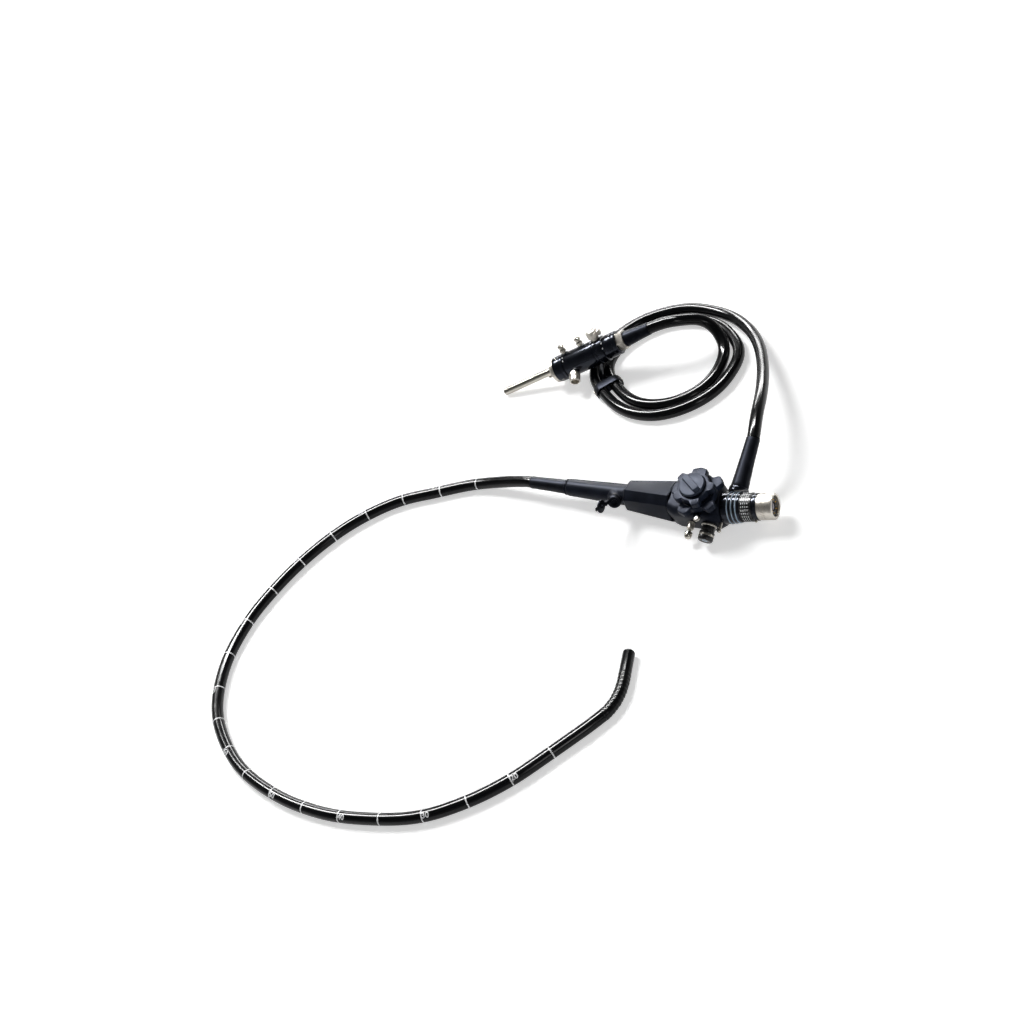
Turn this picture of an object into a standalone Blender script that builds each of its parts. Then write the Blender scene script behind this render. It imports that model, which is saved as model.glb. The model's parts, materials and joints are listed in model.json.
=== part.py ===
"""Flexible endoscope lying on a table, in metres, with +Z up.

The control section lies along X with its controls upwards. The insertion tube sweeps round in front of it and
ends in its jointed bending section. The light guide cord is looped twice behind it and ends in its connector.
The origin is under the middle of the control section, on the table.
"""

import math

import bpy
import bmesh
from mathutils import Matrix, Vector

clearance = 0.0003
# A cutting tool runs this far past the face that it cuts
past = 0.0010

# Control section: how it lies, and its length from the tube end to the body
handle_roll = 10.0
handle_x = 0.0045
boot_length = 0.0490
boot_front_radius = 0.0073
boot_rear_radius = 0.0084
boot_ring_length = 0.0026
boot_ring_radius = 0.0094
channel_housing_length = 0.0820
channel_housing_front_radius = 0.0100
channel_housing_rear_radius = 0.0124
channel_housing_wall = 0.0030
grip_length = 0.0630
grip_front_half = 0.0162
grip_rear_half = 0.0203
grip_chamfer = 0.0085
grip_twist = -16.0
grip_wall = 0.0024

# Control body
body_front = 0.0370
body_rear = 0.0320
body_half_width = 0.0235
body_half_depth = 0.0190
body_corner = 0.0095
body_wall = 0.0024
body_neck_radius = 0.0196
cover_middle = -0.0020
cover_length = 0.0460
cover_width = 0.0260
cover_thickness = 0.0020

# Instrument channel port: where it leaves the housing, and the open lid
port_station = 0.0190
port_angle = 60.0
port_turn = 140.0
port_length = 0.0188
port_radius = 0.0058
port_collar_radius = 0.0066
port_collar_length = 0.0032
port_valve_radius = 0.0078
port_valve_length = 0.0085
port_lid_radius = 0.0076
port_lid_thickness = 0.0024
port_lid_open = 118.0
lid_plug_radius = 0.0030
lid_plug_length = 0.0022
lid_hinge_out = 0.0098
hinge_eye_radius = 0.0019
hinge_pin_radius = 0.0008
hinge_slot_half = 0.0014
hinge_lug_half = 0.0024

# Chassis, shafts and drums inside the body
chassis_level = -0.0118
chassis_thickness = 0.0016
post_radius = 0.0024
rl_sleeve_radius = 0.0040
ud_sleeve_radius = 0.0056
drum_radius = 0.0115
drum_height = 0.0042
wire_radius = 0.0006
wire_end = -0.0300
bundle_radius = 0.0022
bundle_lead = 0.0060
bundle_points = (
    (-0.1300, 0.0020, -0.0010),
    (-0.1000, 0.0045, -0.0020),
    (-0.0700, 0.0080, -0.0045),
    (-0.0400, 0.0130, -0.0070),
    (-0.0270, 0.0155, -0.0080),
    (-0.0100, 0.0163, -0.0085),
    (0.0140, 0.0140, -0.0072),
    (0.0240, 0.0090, -0.0045),
    (0.0420, 0.0045, 0.0000),
)
suction_tube_radius = 0.0024
suction_points = (
    (-0.0900, -0.0060, -0.0030),
    (-0.0620, -0.0095, -0.0050),
    (-0.0400, -0.0125, -0.0070),
    (-0.0280, -0.0150, -0.0084),
    (-0.0150, -0.0152, -0.0084),
    (-0.0030, -0.0152, -0.0084),
)
boss_radius = 0.0125
boss_height = 0.0012

# Control wheels and their brakes
brake_height = 0.0024
brake_radius = 0.0150
brake_reach = 0.0330
brake_angle = -75.0
ud_wheel_radius = 0.0305
ud_wheel_valley = 0.0232
ud_wheel_height = 0.0080
ud_wheel_hub = 0.0100
ud_wheel_phase = 36.8
rl_wheel_radius = 0.0245
rl_wheel_valley = 0.0188
rl_wheel_height = 0.0080
rl_wheel_hub = 0.0080
rl_wheel_phase = 7.2
wheel_gap = 0.0020
wheel_lobes = 5
lobe_flat = 15.0
lobe_flank = 13.0
knob_radius = 0.0146
knob_height = 0.0042
knob_bar_width = 0.0078
knob_bar_height = 0.0042
knob_bar_angle = -35.0

# Valves and the leak test stud on the front of the body
valve_tilt = 9.0
suction_station = 0.0125
suction_radius = 0.0076
suction_sleeve_length = 0.0100
suction_cap_length = 0.0105
suction_travel = 0.0030
air_station = -0.0095
air_radius = 0.0040
air_sleeve_length = 0.0085
air_cap_radius = 0.0046
air_travel = 0.0025
stud_station = 0.0260
stud_radius = 0.0017
stud_neck = 0.0032
stud_ball = 0.0024

# Eyepiece
eyepiece_tilt = 10.0
eyepiece_start = 0.0240
neck_length = 0.0205
neck_front_radius = 0.0182
neck_rear_radius = 0.0164
neck_wall = 0.0030
neck_rings = 3
neck_ring_proud = 0.0007
diopter_length = 0.0135
diopter_radius = 0.0160
diopter_ribs = 26
index_length = 0.0052
index_radius = 0.0152
index_pin_turn = 78.0
mount_ring_length = 0.0180
mount_ring_radius = 0.0148
mount_bore = 0.0115
mount_recess = 0.0060
contact_plate_thickness = 0.0030
contact_count = 6
lens_radius = 0.0046

# Light guide cord where it leaves the body
cord_diameter = 0.0144
cord_station = 0.0335
cord_rise = 11.0
cord_socket_out = 0.0245
cord_socket_radius = 0.0112
cord_boot_length = 0.0580
cord_boot_tip_radius = 0.0078
cord_boot_base_radius = 0.0100

# Insertion tube from the handle to the bending section
tube_diameter = 0.0138
tube_heading = 62.0
tube_points = (
    (-0.2440, 0.0010, 0.0210),
    (-0.2620, 0.0010, 0.0170),
    (-0.2780, 0.0000, 0.0140),
    (-0.2970, -0.0010, 0.0105),
    (-0.3150, -0.0030, 0.0080),
    (-0.3320, -0.0070, 0.0070),
    (-0.3550, -0.0190, 0.0069),
    (-0.4130, -0.0460, 0.0069),
    (-0.4580, -0.0880, 0.0069),
    (-0.4890, -0.1400, 0.0069),
    (-0.5080, -0.1970, 0.0069),
    (-0.5160, -0.2580, 0.0069),
    (-0.5060, -0.3230, 0.0069),
    (-0.4710, -0.3850, 0.0069),
    (-0.4060, -0.4340, 0.0069),
    (-0.3320, -0.4580, 0.0069),
    (-0.2600, -0.4640, 0.0069),
    (-0.1980, -0.4560, 0.0069),
    (-0.1420, -0.4390, 0.0069),
    (-0.0980, -0.4100, 0.0069),
    (-0.0620, -0.3740, 0.0069),
    (-0.0325, -0.3320, 0.0069),
    (0.0030, -0.2760, 0.0070),
)

# Bending section: hinges, from the tube, take turns to be upright and level
ferrule_length = 0.0060
link_pitch = 0.0065
link_radius = 0.0065
link_bore = 0.0052
inner_layer = 0.00565
outer_layer = 0.00595
tongue_radius = 0.0021
rivet_radius = 0.0007
hinge_gap = 0.0002
hinge_cut = 25.5
rest_bends = (16.0, 0.0, 13.0, 0.0, 10.0, 0.0, 6.0, 0.0)
tip_length = 0.0330
tip_radius = 0.0067
tip_round = 0.0030
tip_channel_radius = 0.0019
tip_lens_radius = 0.0015

# Light guide connector: its tip rests on the table, and it leans over the cord
connector_tip = (-0.3604, 0.1490)
connector_heading = 23.7
connector_rise = 13.2
rod_radius = 0.0049
rod_length = 0.0727
rod_offset = 0.0024
air_pipe_radius = 0.0016
air_pipe_length = 0.0100
air_pipe_offset = -0.0050
front_ring_length = 0.0060
front_ring_radius = 0.0152
front_collar_length = 0.0140
front_collar_radius = 0.0160
connector_body_length = 0.0447
connector_body_radius = 0.0158
step_ring_length = 0.0130
step_ring_radius = 0.0162
rear_collar_length = 0.0183
rear_collar_radius = 0.0150
nut_length = 0.0090
nut_radius = 0.0128
rear_boot_length = 0.0332
rear_boot_base_radius = 0.0100
front_nipple_station = 0.0980
rear_nipple_station = 0.1225
nipple_radius = 0.0034
nipple_length = 0.0120
nipple_lean = 71.6
barrel_station = 0.1435
barrel_radius = 0.0066
barrel_length = 0.0125
suction_fitting_station = 0.1020
suction_fitting_radius = 0.0060
suction_fitting_length = 0.0135
suction_fitting_lean = 103.0

# The cord's two turns, from the handle's boot to the connector's boot
cord_points = (
    (0.0340, 0.0960, 0.0565),
    (0.0297, 0.1105, 0.0565),
    (0.0247, 0.1285, 0.0535),
    (0.0175, 0.1475, 0.0495),
    (0.0085, 0.1675, 0.0445),
    (-0.0014, 0.1880, 0.0390),
    (-0.0128, 0.2085, 0.0335),
    (-0.0257, 0.2295, 0.0280),
    (-0.0413, 0.2505, 0.0225),
    (-0.0610, 0.2716, 0.0165),
    (-0.0830, 0.2890, 0.0120),
    (-0.1010, 0.3000, 0.0088),
    (-0.1260, 0.3085, 0.0075),
    (-0.1560, 0.3120, 0.0074),
    (-0.1790, 0.3090, 0.0074),
    (-0.2010, 0.3000, 0.0074),
    (-0.2220, 0.2860, 0.0074),
    (-0.2400, 0.2640, 0.0074),
    (-0.2500, 0.2390, 0.0074),
    (-0.2520, 0.2120, 0.0074),
    (-0.2430, 0.1860, 0.0074),
    (-0.2300, 0.1710, 0.0074),
    (-0.2100, 0.1550, 0.0074),
    (-0.1910, 0.1430, 0.0074),
    (-0.1700, 0.1350, 0.0074),
    (-0.1530, 0.1325, 0.0074),
    (-0.1360, 0.1330, 0.0074),
    (-0.1200, 0.1375, 0.0074),
    (-0.1040, 0.1460, 0.0074),
    (-0.0890, 0.1580, 0.0074),
    (-0.0755, 0.1750, 0.0074),
    (-0.0675, 0.1940, 0.0074),
    (-0.0645, 0.2140, 0.0074),
    (-0.0652, 0.2345, 0.0074),
    (-0.0728, 0.2530, 0.0074),
    (-0.0865, 0.2670, 0.0074),
    (-0.1010, 0.2790, 0.0074),
    (-0.1190, 0.2880, 0.0074),
    (-0.1385, 0.2925, 0.0074),
    (-0.1600, 0.2930, 0.0074),
    (-0.1840, 0.2880, 0.0074),
    (-0.2050, 0.2760, 0.0074),
    (-0.2220, 0.2580, 0.0074),
    (-0.2330, 0.2360, 0.0074),
    (-0.2345, 0.2130, 0.0074),
    (-0.2270, 0.1950, 0.0074),
    (-0.2165, 0.1828, 0.0074),
    (-0.2025, 0.1710, 0.0074),
    (-0.1865, 0.1602, 0.0074),
    (-0.1705, 0.1525, 0.0074),
    (-0.1538, 0.1492, 0.0074),
    (-0.1380, 0.1498, 0.0074),
    (-0.1210, 0.1548, 0.0074),
    (-0.1050, 0.1650, 0.0074),
    (-0.0925, 0.1790, 0.0074),
    (-0.0852, 0.1960, 0.0074),
    (-0.0828, 0.2150, 0.0074),
    (-0.0848, 0.2330, 0.0080),
    (-0.0882, 0.2460, 0.0100),
    (-0.0935, 0.2550, 0.0150),
    (-0.1020, 0.2625, 0.0220),
    (-0.1105, 0.2660, 0.0300),
    (-0.1200, 0.2640, 0.0375),
    (-0.1280, 0.2580, 0.0440),
    (-0.1365, 0.2505, 0.0490),
    (-0.1460, 0.2440, 0.0525),
)
route_spacing = 0.0270
end_straight = 0.0100

# Clip that holds the two turns together
clip_outer = (-0.2211, 0.1639, 0.0074)
clip_inner = (-0.2095, 0.1773, 0.0074)
clip_clearance = 0.0009
clip_wall = 0.0014
clip_width = 0.0110

# Turned pieces have this many sides
fine_sides = 20
plain_sides = 14
link_sides = 16
pin_sides = 10


def clear_scene():
    for thing in list(bpy.data.objects):
        bpy.data.objects.remove(thing, do_unlink=True)


def finish(name, colour, roughness, metallic=0.0):
    material = bpy.data.materials.new(name)
    material.use_nodes = True
    shader = material.node_tree.nodes["Principled BSDF"]
    shader.inputs["Base Color"].default_value = (*colour, 1.0)
    shader.inputs["Roughness"].default_value = roughness
    shader.inputs["Metallic"].default_value = metallic
    return material



def mesh_from(shape, name):
    bmesh.ops.recalc_face_normals(shape, faces=shape.faces)
    mesh = bpy.data.meshes.new(name)
    shape.to_mesh(mesh)
    shape.free()
    return mesh


def place_piece(name, mesh, material, parent=None, place=None):
    piece = bpy.data.objects.new(name, mesh)
    bpy.context.scene.collection.objects.link(piece)
    piece.parent = parent
    piece.matrix_local = place or Matrix.Identity(4)
    if material:
        mesh.materials.append(material)
    mesh.shade_smooth()
    mesh.set_sharp_from_angle(angle=math.radians(30))
    return piece


def turned(name, profile, sides=plain_sides):
    """Mesh turned about X from (along, radius) points, which close on the axis or on themselves."""
    on_axis = profile[0][1] == 0 and profile[-1][1] == 0
    shape = bmesh.new()
    points = [shape.verts.new((along, 0, radius)) for along, radius in profile]
    pairs = list(zip(points, points[1:]))
    if not on_axis:
        pairs.append((points[-1], points[0]))
    edges = [shape.edges.new(pair) for pair in pairs]
    bmesh.ops.spin(
        shape, geom=points + edges, axis=(1, 0, 0), angle=math.tau, steps=sides, use_merge=True
    )
    bmesh.ops.remove_doubles(shape, verts=shape.verts, dist=1e-6)
    return mesh_from(shape, name)


def lofted(name, rings, hollow=False):
    """Mesh through rings of equal point counts, with flat ends, or closed on itself when hollow."""
    shape = bmesh.new()
    loops = [[shape.verts.new(point) for point in ring] for ring in rings]
    pairs = list(zip(loops, loops[1:]))
    if hollow:
        pairs.append((loops[-1], loops[0]))
    else:
        shape.faces.new(loops[0])
        shape.faces.new(loops[-1])
    for low, high in pairs:
        for i in range(len(low)):
            j = (i + 1) % len(low)
            shape.faces.new((low[i], low[j], high[j], high[i]))
    return mesh_from(shape, name)


def block(name, low, high, edge=0.0):
    """Box mesh between two corners, with its edges bevelled."""
    shape = bmesh.new()
    bmesh.ops.create_cube(shape, size=1)
    size = Vector(high) - Vector(low)
    middle = (Vector(high) + Vector(low)) / 2
    bmesh.ops.scale(shape, vec=size, verts=shape.verts)
    bmesh.ops.translate(shape, vec=middle, verts=shape.verts)
    if edge:
        bmesh.ops.bevel(shape, geom=shape.edges, offset=edge, segments=2, affect="EDGES", profile=0.5)
    return mesh_from(shape, name)


def change_by(piece, tool_mesh, operation, place=None):
    """Adds a Boolean with a hidden tool that stands in the piece's own frame."""
    tool = bpy.data.objects.new(piece.name + "_tool", tool_mesh)
    bpy.context.scene.collection.objects.link(tool)
    tool.parent = piece
    tool.matrix_local = place or Matrix.Identity(4)
    tool.hide_render = True
    tool.display_type = "WIRE"
    change = piece.modifiers.new(operation.lower(), "BOOLEAN")
    change.operation = operation
    change.object = tool
    return tool


def rounded_ring(along, half_y, half_z, corner, middle_y=0.0, middle_z=0.0, steps=4):
    """Points of a rectangle with round corners, across X."""
    ring = []
    for turn, (side_y, side_z) in enumerate([(1, 1), (-1, 1), (-1, -1), (1, -1)]):
        centre_y = middle_y + side_y * (half_y - corner)
        centre_z = middle_z + side_z * (half_z - corner)
        for step in range(steps + 1):
            angle = math.radians(90 * turn + 90 * step / steps)
            y = centre_y + corner * math.cos(angle)
            z = centre_z + corner * math.sin(angle)
            ring.append(Vector((along, y, z)))
    return ring


def chamfered_ring(along, half, chamfer, twist):
    """Points of a square with cut corners, across X."""
    cut = half - chamfer
    corners = [(half, -cut), (half, cut), (cut, half), (-cut, half)]
    corners += [(-y, -z) for y, z in corners]
    turn = Matrix.Rotation(math.radians(twist), 3, "X")
    return [turn @ Vector((along, y, z)) for y, z in corners]


def circle(radius, height, count, start=0.0):
    angles = [start + math.tau * i / count for i in range(count)]
    return [Vector((radius * math.cos(a), radius * math.sin(a), height)) for a in angles]


def blend_between(low, high, share):
    share = min(max(share, 0.0), 1.0)
    return low + (high - low) * (3 - 2 * share) * share * share


def lobed_radius(angle, tip, valley):
    """Radius of a wheel whose lobes have a flat end, steep flanks and round valleys."""
    period = 360 / wheel_lobes
    off = abs((math.degrees(angle) + period / 2) % period - period / 2)
    return blend_between(tip, valley, (off - lobe_flat / 2) / lobe_flank)


def lobed_outline(tip, valley, inset, height, count):
    ring = []
    for i in range(count):
        angle = math.tau * i / count
        radius = lobed_radius(angle, tip, valley) - inset
        ring.append(Vector((radius * math.cos(angle), radius * math.sin(angle), height)))
    return ring


def wheel_mesh(name, tip, valley, height, bore, hub):
    """Hand wheel with a dished face round its hub, bored through, with its axis along Z."""
    count = 8 * wheel_lobes
    edge = 0.0012
    dish = 0.0020
    dish_radius = valley - 0.0032
    rings = [
        circle(bore, 0, count),
        lobed_outline(tip, valley, edge, 0, count),
        lobed_outline(tip, valley, 0, edge, count),
        lobed_outline(tip, valley, 0, height - edge, count),
        lobed_outline(tip, valley, edge, height, count),
        circle(dish_radius, height, count),
        circle(dish_radius - dish / 2, height - dish, count),
        circle(hub, height - dish, count),
        circle(hub, height, count),
        circle(bore, height, count),
    ]
    return lofted(name, rings, hollow=True)


def along_z(height=0.0):
    """Stands a piece that was turned about X upright on the wheel axis."""
    return Matrix.Translation((0, 0, height)) @ Matrix.Rotation(-math.pi / 2, 4, "Y")


def smooth_route(points, spacing):
    """Points at an even spacing on a smooth curve through the given ones."""
    dense = []
    last = len(points) - 1
    for i in range(last):
        before = points[max(i - 1, 0)]
        start = points[i]
        end = points[i + 1]
        after = points[min(i + 2, last)]
        for step in range(24):
            t = step / 24
            pull = (
                2 * start
                + (end - before) * t
                + (2 * before - 5 * start + 4 * end - after) * t * t
                + (3 * start - before - 3 * end + after) * t * t * t
            )
            dense.append(pull / 2)
    dense.append(points[-1])
    lengths = [0.0]
    for a, b in zip(dense, dense[1:]):
        lengths.append(lengths[-1] + (b - a).length)
    count = round(lengths[-1] / spacing)
    route = []
    spot = 0
    for i in range(count + 1):
        wanted = lengths[-1] * i / count
        while spot < len(dense) - 2 and lengths[spot + 1] < wanted:
            spot += 1
        share = (wanted - lengths[spot]) / (lengths[spot + 1] - lengths[spot])
        route.append(dense[spot].lerp(dense[spot + 1], share))
    return route, lengths[-1]


def tube_along(name, route, radius, material, parent=None, resolution=3):
    curve = bpy.data.curves.new(name, "CURVE")
    curve.dimensions = "3D"
    curve.bevel_depth = radius
    curve.bevel_resolution = resolution
    curve.use_fill_caps = True
    spline = curve.splines.new("POLY")
    spline.points.add(len(route) - 1)
    for point, place in zip(spline.points, route):
        point.co = (*place, 1)
    curve.materials.append(material)
    tube = bpy.data.objects.new(name, curve)
    bpy.context.scene.collection.objects.link(tube)
    tube.parent = parent
    return tube


def side_ring(ring, place):
    return [place @ point for point in ring]


def eyepiece_place():
    tilt = Matrix.Rotation(math.radians(eyepiece_tilt), 4, "Z")
    return Matrix.Translation((eyepiece_start, 0, 0)) @ tilt


def port_place():
    """Port frame: Z leaves the port along its bore, X points back towards the insertion tube."""
    turn = math.radians(port_turn)
    angle = math.radians(port_angle)
    outward = Vector((0, math.cos(turn), math.sin(turn)))
    bore = math.cos(angle) * Vector((1, 0, 0)) + math.sin(angle) * outward
    back = (outward - bore * outward.dot(bore)).normalized()
    side = bore.cross(back)
    frame = Matrix((back, side, bore)).transposed().to_4x4()
    station = -body_front - grip_length - port_station
    return Matrix.Translation((station, 0, 0)) @ frame


def valve_place(station):
    """Valve frame: X points out of the front of the body."""
    tilt = math.radians(valve_tilt)
    out = Vector((0, -math.cos(tilt), -math.sin(tilt)))
    up = Vector((0, -math.sin(tilt), math.cos(tilt)))
    frame = Matrix((out, up.cross(out), up)).transposed().to_4x4()
    return Matrix.Translation((station, -body_half_width, 0)) @ frame


def cord_place():
    """Cord frame: X leaves the back of the body along the cord."""
    rise = math.radians(cord_rise)
    out = Vector((0, math.cos(rise), math.sin(rise)))
    up = Vector((0, -math.sin(rise), math.cos(rise)))
    frame = Matrix((out, up.cross(out), up)).transposed().to_4x4()
    return Matrix.Translation((cord_station, 0, 0)) @ frame


def boot_profile(length, low, high, steps=6):
    """Solid boot from its thin free end to its thick held end, with a rounded lip."""
    lip = 0.0008
    profile = [(0, 0), (0, low - lip), (lip, low)]
    for step in range(1, steps + 1):
        share = step / steps
        profile.append((lip + (length - lip) * share, low + (high - low) * share**1.4))
    return profile + [(length, 0)]


def make_front(handle, paint):
    """Tube boot, its ring, the channel housing with its port, and the grip."""
    grip_rear = -body_front - clearance
    grip_front = -body_front - grip_length
    housing_rear = grip_front - clearance
    housing_front = grip_front - channel_housing_length
    ring_rear = housing_front - clearance
    ring_front = ring_rear - boot_ring_length
    boot_rear = ring_front - clearance

    boot = turned("tube_boot", boot_profile(boot_length, boot_front_radius, boot_rear_radius))
    place = Matrix.Translation((boot_rear - boot_length, 0, 0))
    place_piece("tube_boot", boot, paint["rubber"], handle, place)

    edge = 0.0007
    profile = [(0, 0), (0, boot_ring_radius - edge), (edge, boot_ring_radius)]
    profile += [(boot_ring_length - edge, boot_ring_radius), (boot_ring_length, boot_ring_radius - edge)]
    profile.append((boot_ring_length, 0))
    ring = turned("boot_ring", profile, fine_sides)
    place_piece("boot_ring", ring, paint["plate"], handle, Matrix.Translation((ring_front, 0, 0)))

    front_bore = channel_housing_front_radius - channel_housing_wall
    rear_bore = channel_housing_rear_radius - channel_housing_wall
    rear = channel_housing_length - clearance
    profile = [
        (0, front_bore),
        (0, channel_housing_front_radius - edge),
        (edge, channel_housing_front_radius),
        (rear, channel_housing_rear_radius),
        (rear, rear_bore),
    ]
    mesh = turned("channel_housing", profile, fine_sides)
    place = Matrix.Translation((housing_front, 0, 0))
    housing = place_piece("channel_housing", mesh, paint["grip"], handle, place)
    into_housing = place.inverted() @ port_place()
    branch = [(0, 0), (0, port_radius), (port_length, port_radius), (port_length, 0)]
    change_by(housing, turned("branch", branch), "UNION", into_housing @ along_z())
    through = [(-past, 0), (-past, front_bore), (channel_housing_length, rear_bore)]
    through.append((channel_housing_length, 0))
    change_by(housing, turned("through", through, fine_sides), "DIFFERENCE")
    reach = port_length + past
    channel = [(0, 0), (0, lid_plug_radius), (reach, lid_plug_radius), (reach, 0)]
    change_by(housing, turned("channel", channel), "DIFFERENCE", into_housing @ along_z())

    rings = [
        chamfered_ring(grip_front, grip_front_half - 0.0022, grip_chamfer - 0.0012, grip_twist),
        chamfered_ring(grip_front + 0.0026, grip_front_half, grip_chamfer, grip_twist),
        chamfered_ring(grip_rear, grip_rear_half, grip_chamfer, grip_twist),
        chamfered_ring(grip_rear, grip_rear_half - grip_wall, grip_chamfer - 0.0010, grip_twist),
        chamfered_ring(grip_front, grip_front_half - grip_wall - 0.0022, grip_chamfer - 0.0022, grip_twist),
    ]
    place_piece("grip", lofted("grip", rings, hollow=True), paint["grip"], handle)


def make_port(handle, paint):
    """Steel collar, rubber valve and the lid that hinges on it."""
    port = port_place()
    low = port_length + clearance
    high = low + port_collar_length
    edge = 0.0006
    profile = [
        (low, lid_plug_radius),
        (low, port_collar_radius - edge),
        (low + edge, port_collar_radius),
        (high - edge, port_collar_radius),
        (high, port_collar_radius - edge),
        (high, lid_plug_radius),
    ]
    collar = turned("port_collar", profile, fine_sides)
    place_piece("port_collar", collar, paint["steel"], handle, port @ along_z())

    low = high + clearance
    high = low + port_valve_length
    bulge = 0.0010
    profile = [
        (low, lid_plug_radius),
        (low, port_valve_radius - bulge),
        (low + bulge, port_valve_radius),
        (high - 3 * bulge, port_valve_radius),
        (high - 2 * bulge, port_valve_radius - bulge),
        (high, port_valve_radius - bulge),
        (high, lid_plug_radius),
    ]
    mesh = turned("port_valve", profile)
    valve = place_piece("port_valve", mesh, paint["rubber"], handle, port @ along_z())
    level = high + clearance + port_lid_thickness / 2
    into_valve = along_z().inverted()
    across = Matrix.Translation((lid_hinge_out, 0, level)) @ Matrix.Rotation(math.pi / 2, 4, "Z")
    change_by(valve, hinge_lug(high, level), "UNION", into_valve)
    slot = across_bar("slot", hinge_slot_half, hinge_eye_radius + clearance)
    change_by(valve, slot, "DIFFERENCE", into_valve @ across)
    pin = across_bar("pin", hinge_slot_half + 0.0004, hinge_pin_radius)
    change_by(valve, pin, "UNION", into_valve @ across)

    bottom = -port_lid_thickness / 2
    top = port_lid_thickness / 2
    plug = lid_plug_radius - 2 * clearance
    profile = [
        (bottom - lid_plug_length, 0),
        (bottom - lid_plug_length, plug - 0.0004),
        (bottom - lid_plug_length + 0.0004, plug),
        (bottom, plug),
        (bottom, port_lid_radius - edge),
        (bottom + edge, port_lid_radius),
        (top - edge, port_lid_radius),
        (top, port_lid_radius - edge),
        (top, 0),
    ]
    mesh = turned("port_lid", profile)
    mesh.transform(Matrix.Translation((-lid_hinge_out, 0, 0)) @ along_z())
    hinge = port @ Matrix.Translation((lid_hinge_out, 0, level))
    opened = hinge @ Matrix.Rotation(math.radians(port_lid_open), 4, "Y")
    lid = place_piece("port_lid", mesh, paint["rubber"], handle, opened)
    eye_half = hinge_slot_half - clearance
    strap_end = port_lid_radius - lid_hinge_out - 0.0020
    strap = block("strap", (strap_end, -eye_half, bottom + clearance), (0, eye_half, top - clearance))
    change_by(lid, strap, "UNION")
    turn = Matrix.Rotation(math.pi / 2, 4, "Z")
    change_by(lid, across_bar("eye", eye_half, hinge_eye_radius), "UNION", turn)
    change_by(lid, across_bar("eye_bore", hinge_lug_half, hinge_pin_radius + clearance), "DIFFERENCE", turn)
    tab_end = -lid_hinge_out - port_lid_radius
    tab = block("tab", (tab_end - 0.0040, -0.0022, -0.0007), (tab_end + 0.0012, 0.0022, 0.0007), 0.0003)
    change_by(lid, tab, "UNION")


def across_bar(name, half, radius):
    """Round bar about X, as long to each side of the origin."""
    return turned(name, [(-half, 0), (-half, radius), (half, radius), (half, 0)])


def hinge_lug(valve_top, level):
    """Lug on the side of the valve, with a round head about the lid's hinge axis."""
    root = port_valve_radius - 0.0030
    outline = [(root, valve_top - 0.0012), (root, valve_top - 0.0046)]
    outline.append((lid_hinge_out + hinge_eye_radius, valve_top - 0.0030))
    for step in range(7):
        angle = math.radians(30 * step)
        x = lid_hinge_out + hinge_eye_radius * math.cos(angle)
        outline.append((x, level + hinge_eye_radius * math.sin(angle)))
    outline.append((lid_hinge_out - hinge_eye_radius, valve_top - 0.0012))
    rings = [[Vector((x, y, z)) for x, z in outline] for y in (-hinge_lug_half, hinge_lug_half)]
    return lofted("lug", rings)


def body_sections(inset):
    """Outer rings of the body, or its inner rings at an inset."""
    front = -body_front + (clearance if inset == 0 else 0)
    front_half = grip_rear_half + 0.0004 - inset
    half_y = body_half_width - inset
    half_z = body_half_depth - inset
    corner = body_corner - inset / 2
    neck = body_neck_radius - inset
    end = eyepiece_place() @ Matrix.Translation((-clearance, 0, 0))
    round_end = rounded_ring(0, neck, neck, neck * 0.98)
    return [
        rounded_ring(front, front_half, front_half - 0.0010, corner),
        rounded_ring(-body_front + 0.0090, half_y, half_z, corner),
        rounded_ring(body_rear - 0.0210, half_y, half_z, corner),
        rounded_ring(body_rear - 0.0140, half_y - 0.0006, half_z - 0.0002, corner * 1.15),
        side_ring(round_end, end),
    ]


def make_body(handle, paint):
    """Hollow control body with its boss, its valve and cord openings and its back cover."""
    rings = body_sections(0) + body_sections(body_wall)[::-1]
    mesh = lofted("control_body", rings, hollow=True)
    body = place_piece("control_body", mesh, paint["body"], handle)

    boss_top = body_half_depth + boss_height
    start = body_half_depth - body_wall / 2
    profile = [(start, 0), (start, boss_radius), (boss_top - 0.0004, boss_radius)]
    profile += [(boss_top, boss_radius - 0.0004), (boss_top, 0)]
    change_by(body, turned("boss", profile, fine_sides), "UNION", along_z())
    bore = ud_sleeve_radius + clearance
    drill = [(0.008, 0), (0.008, bore), (boss_top + 0.002, bore), (boss_top + 0.002, 0)]
    change_by(body, turned("shaft_bore", drill, fine_sides), "DIFFERENCE", along_z())

    for station, radius in ((suction_station, suction_radius), (air_station, air_radius)):
        hole = radius + clearance
        drill = [(-0.006, 0), (-0.006, hole), (0.006, hole), (0.006, 0)]
        change_by(body, turned("valve_hole", drill), "DIFFERENCE", valve_place(station))

    hole = stud_radius + clearance
    drill = [(-0.006, 0), (-0.006, hole), (0.010, hole), (0.010, 0)]
    change_by(body, turned("stud_hole", drill), "DIFFERENCE", valve_place(stud_station))

    low = -body_half_depth - 0.001
    high = -body_half_depth + body_wall + 0.001
    half_x = cover_length / 2
    half_y = cover_width / 2
    window = block("window", (cover_middle - half_x, -half_y, low), (cover_middle + half_x, half_y, high))
    change_by(body, window, "DIFFERENCE")
    half_x -= clearance
    half_y -= clearance
    low = -body_half_depth + 0.0001
    cover = block(
        "back_cover",
        (cover_middle - half_x, -half_y, low),
        (cover_middle + half_x, half_y, low + cover_thickness),
        0.0004,
    )
    place_piece("back_cover", cover, paint["body"], handle)


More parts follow.
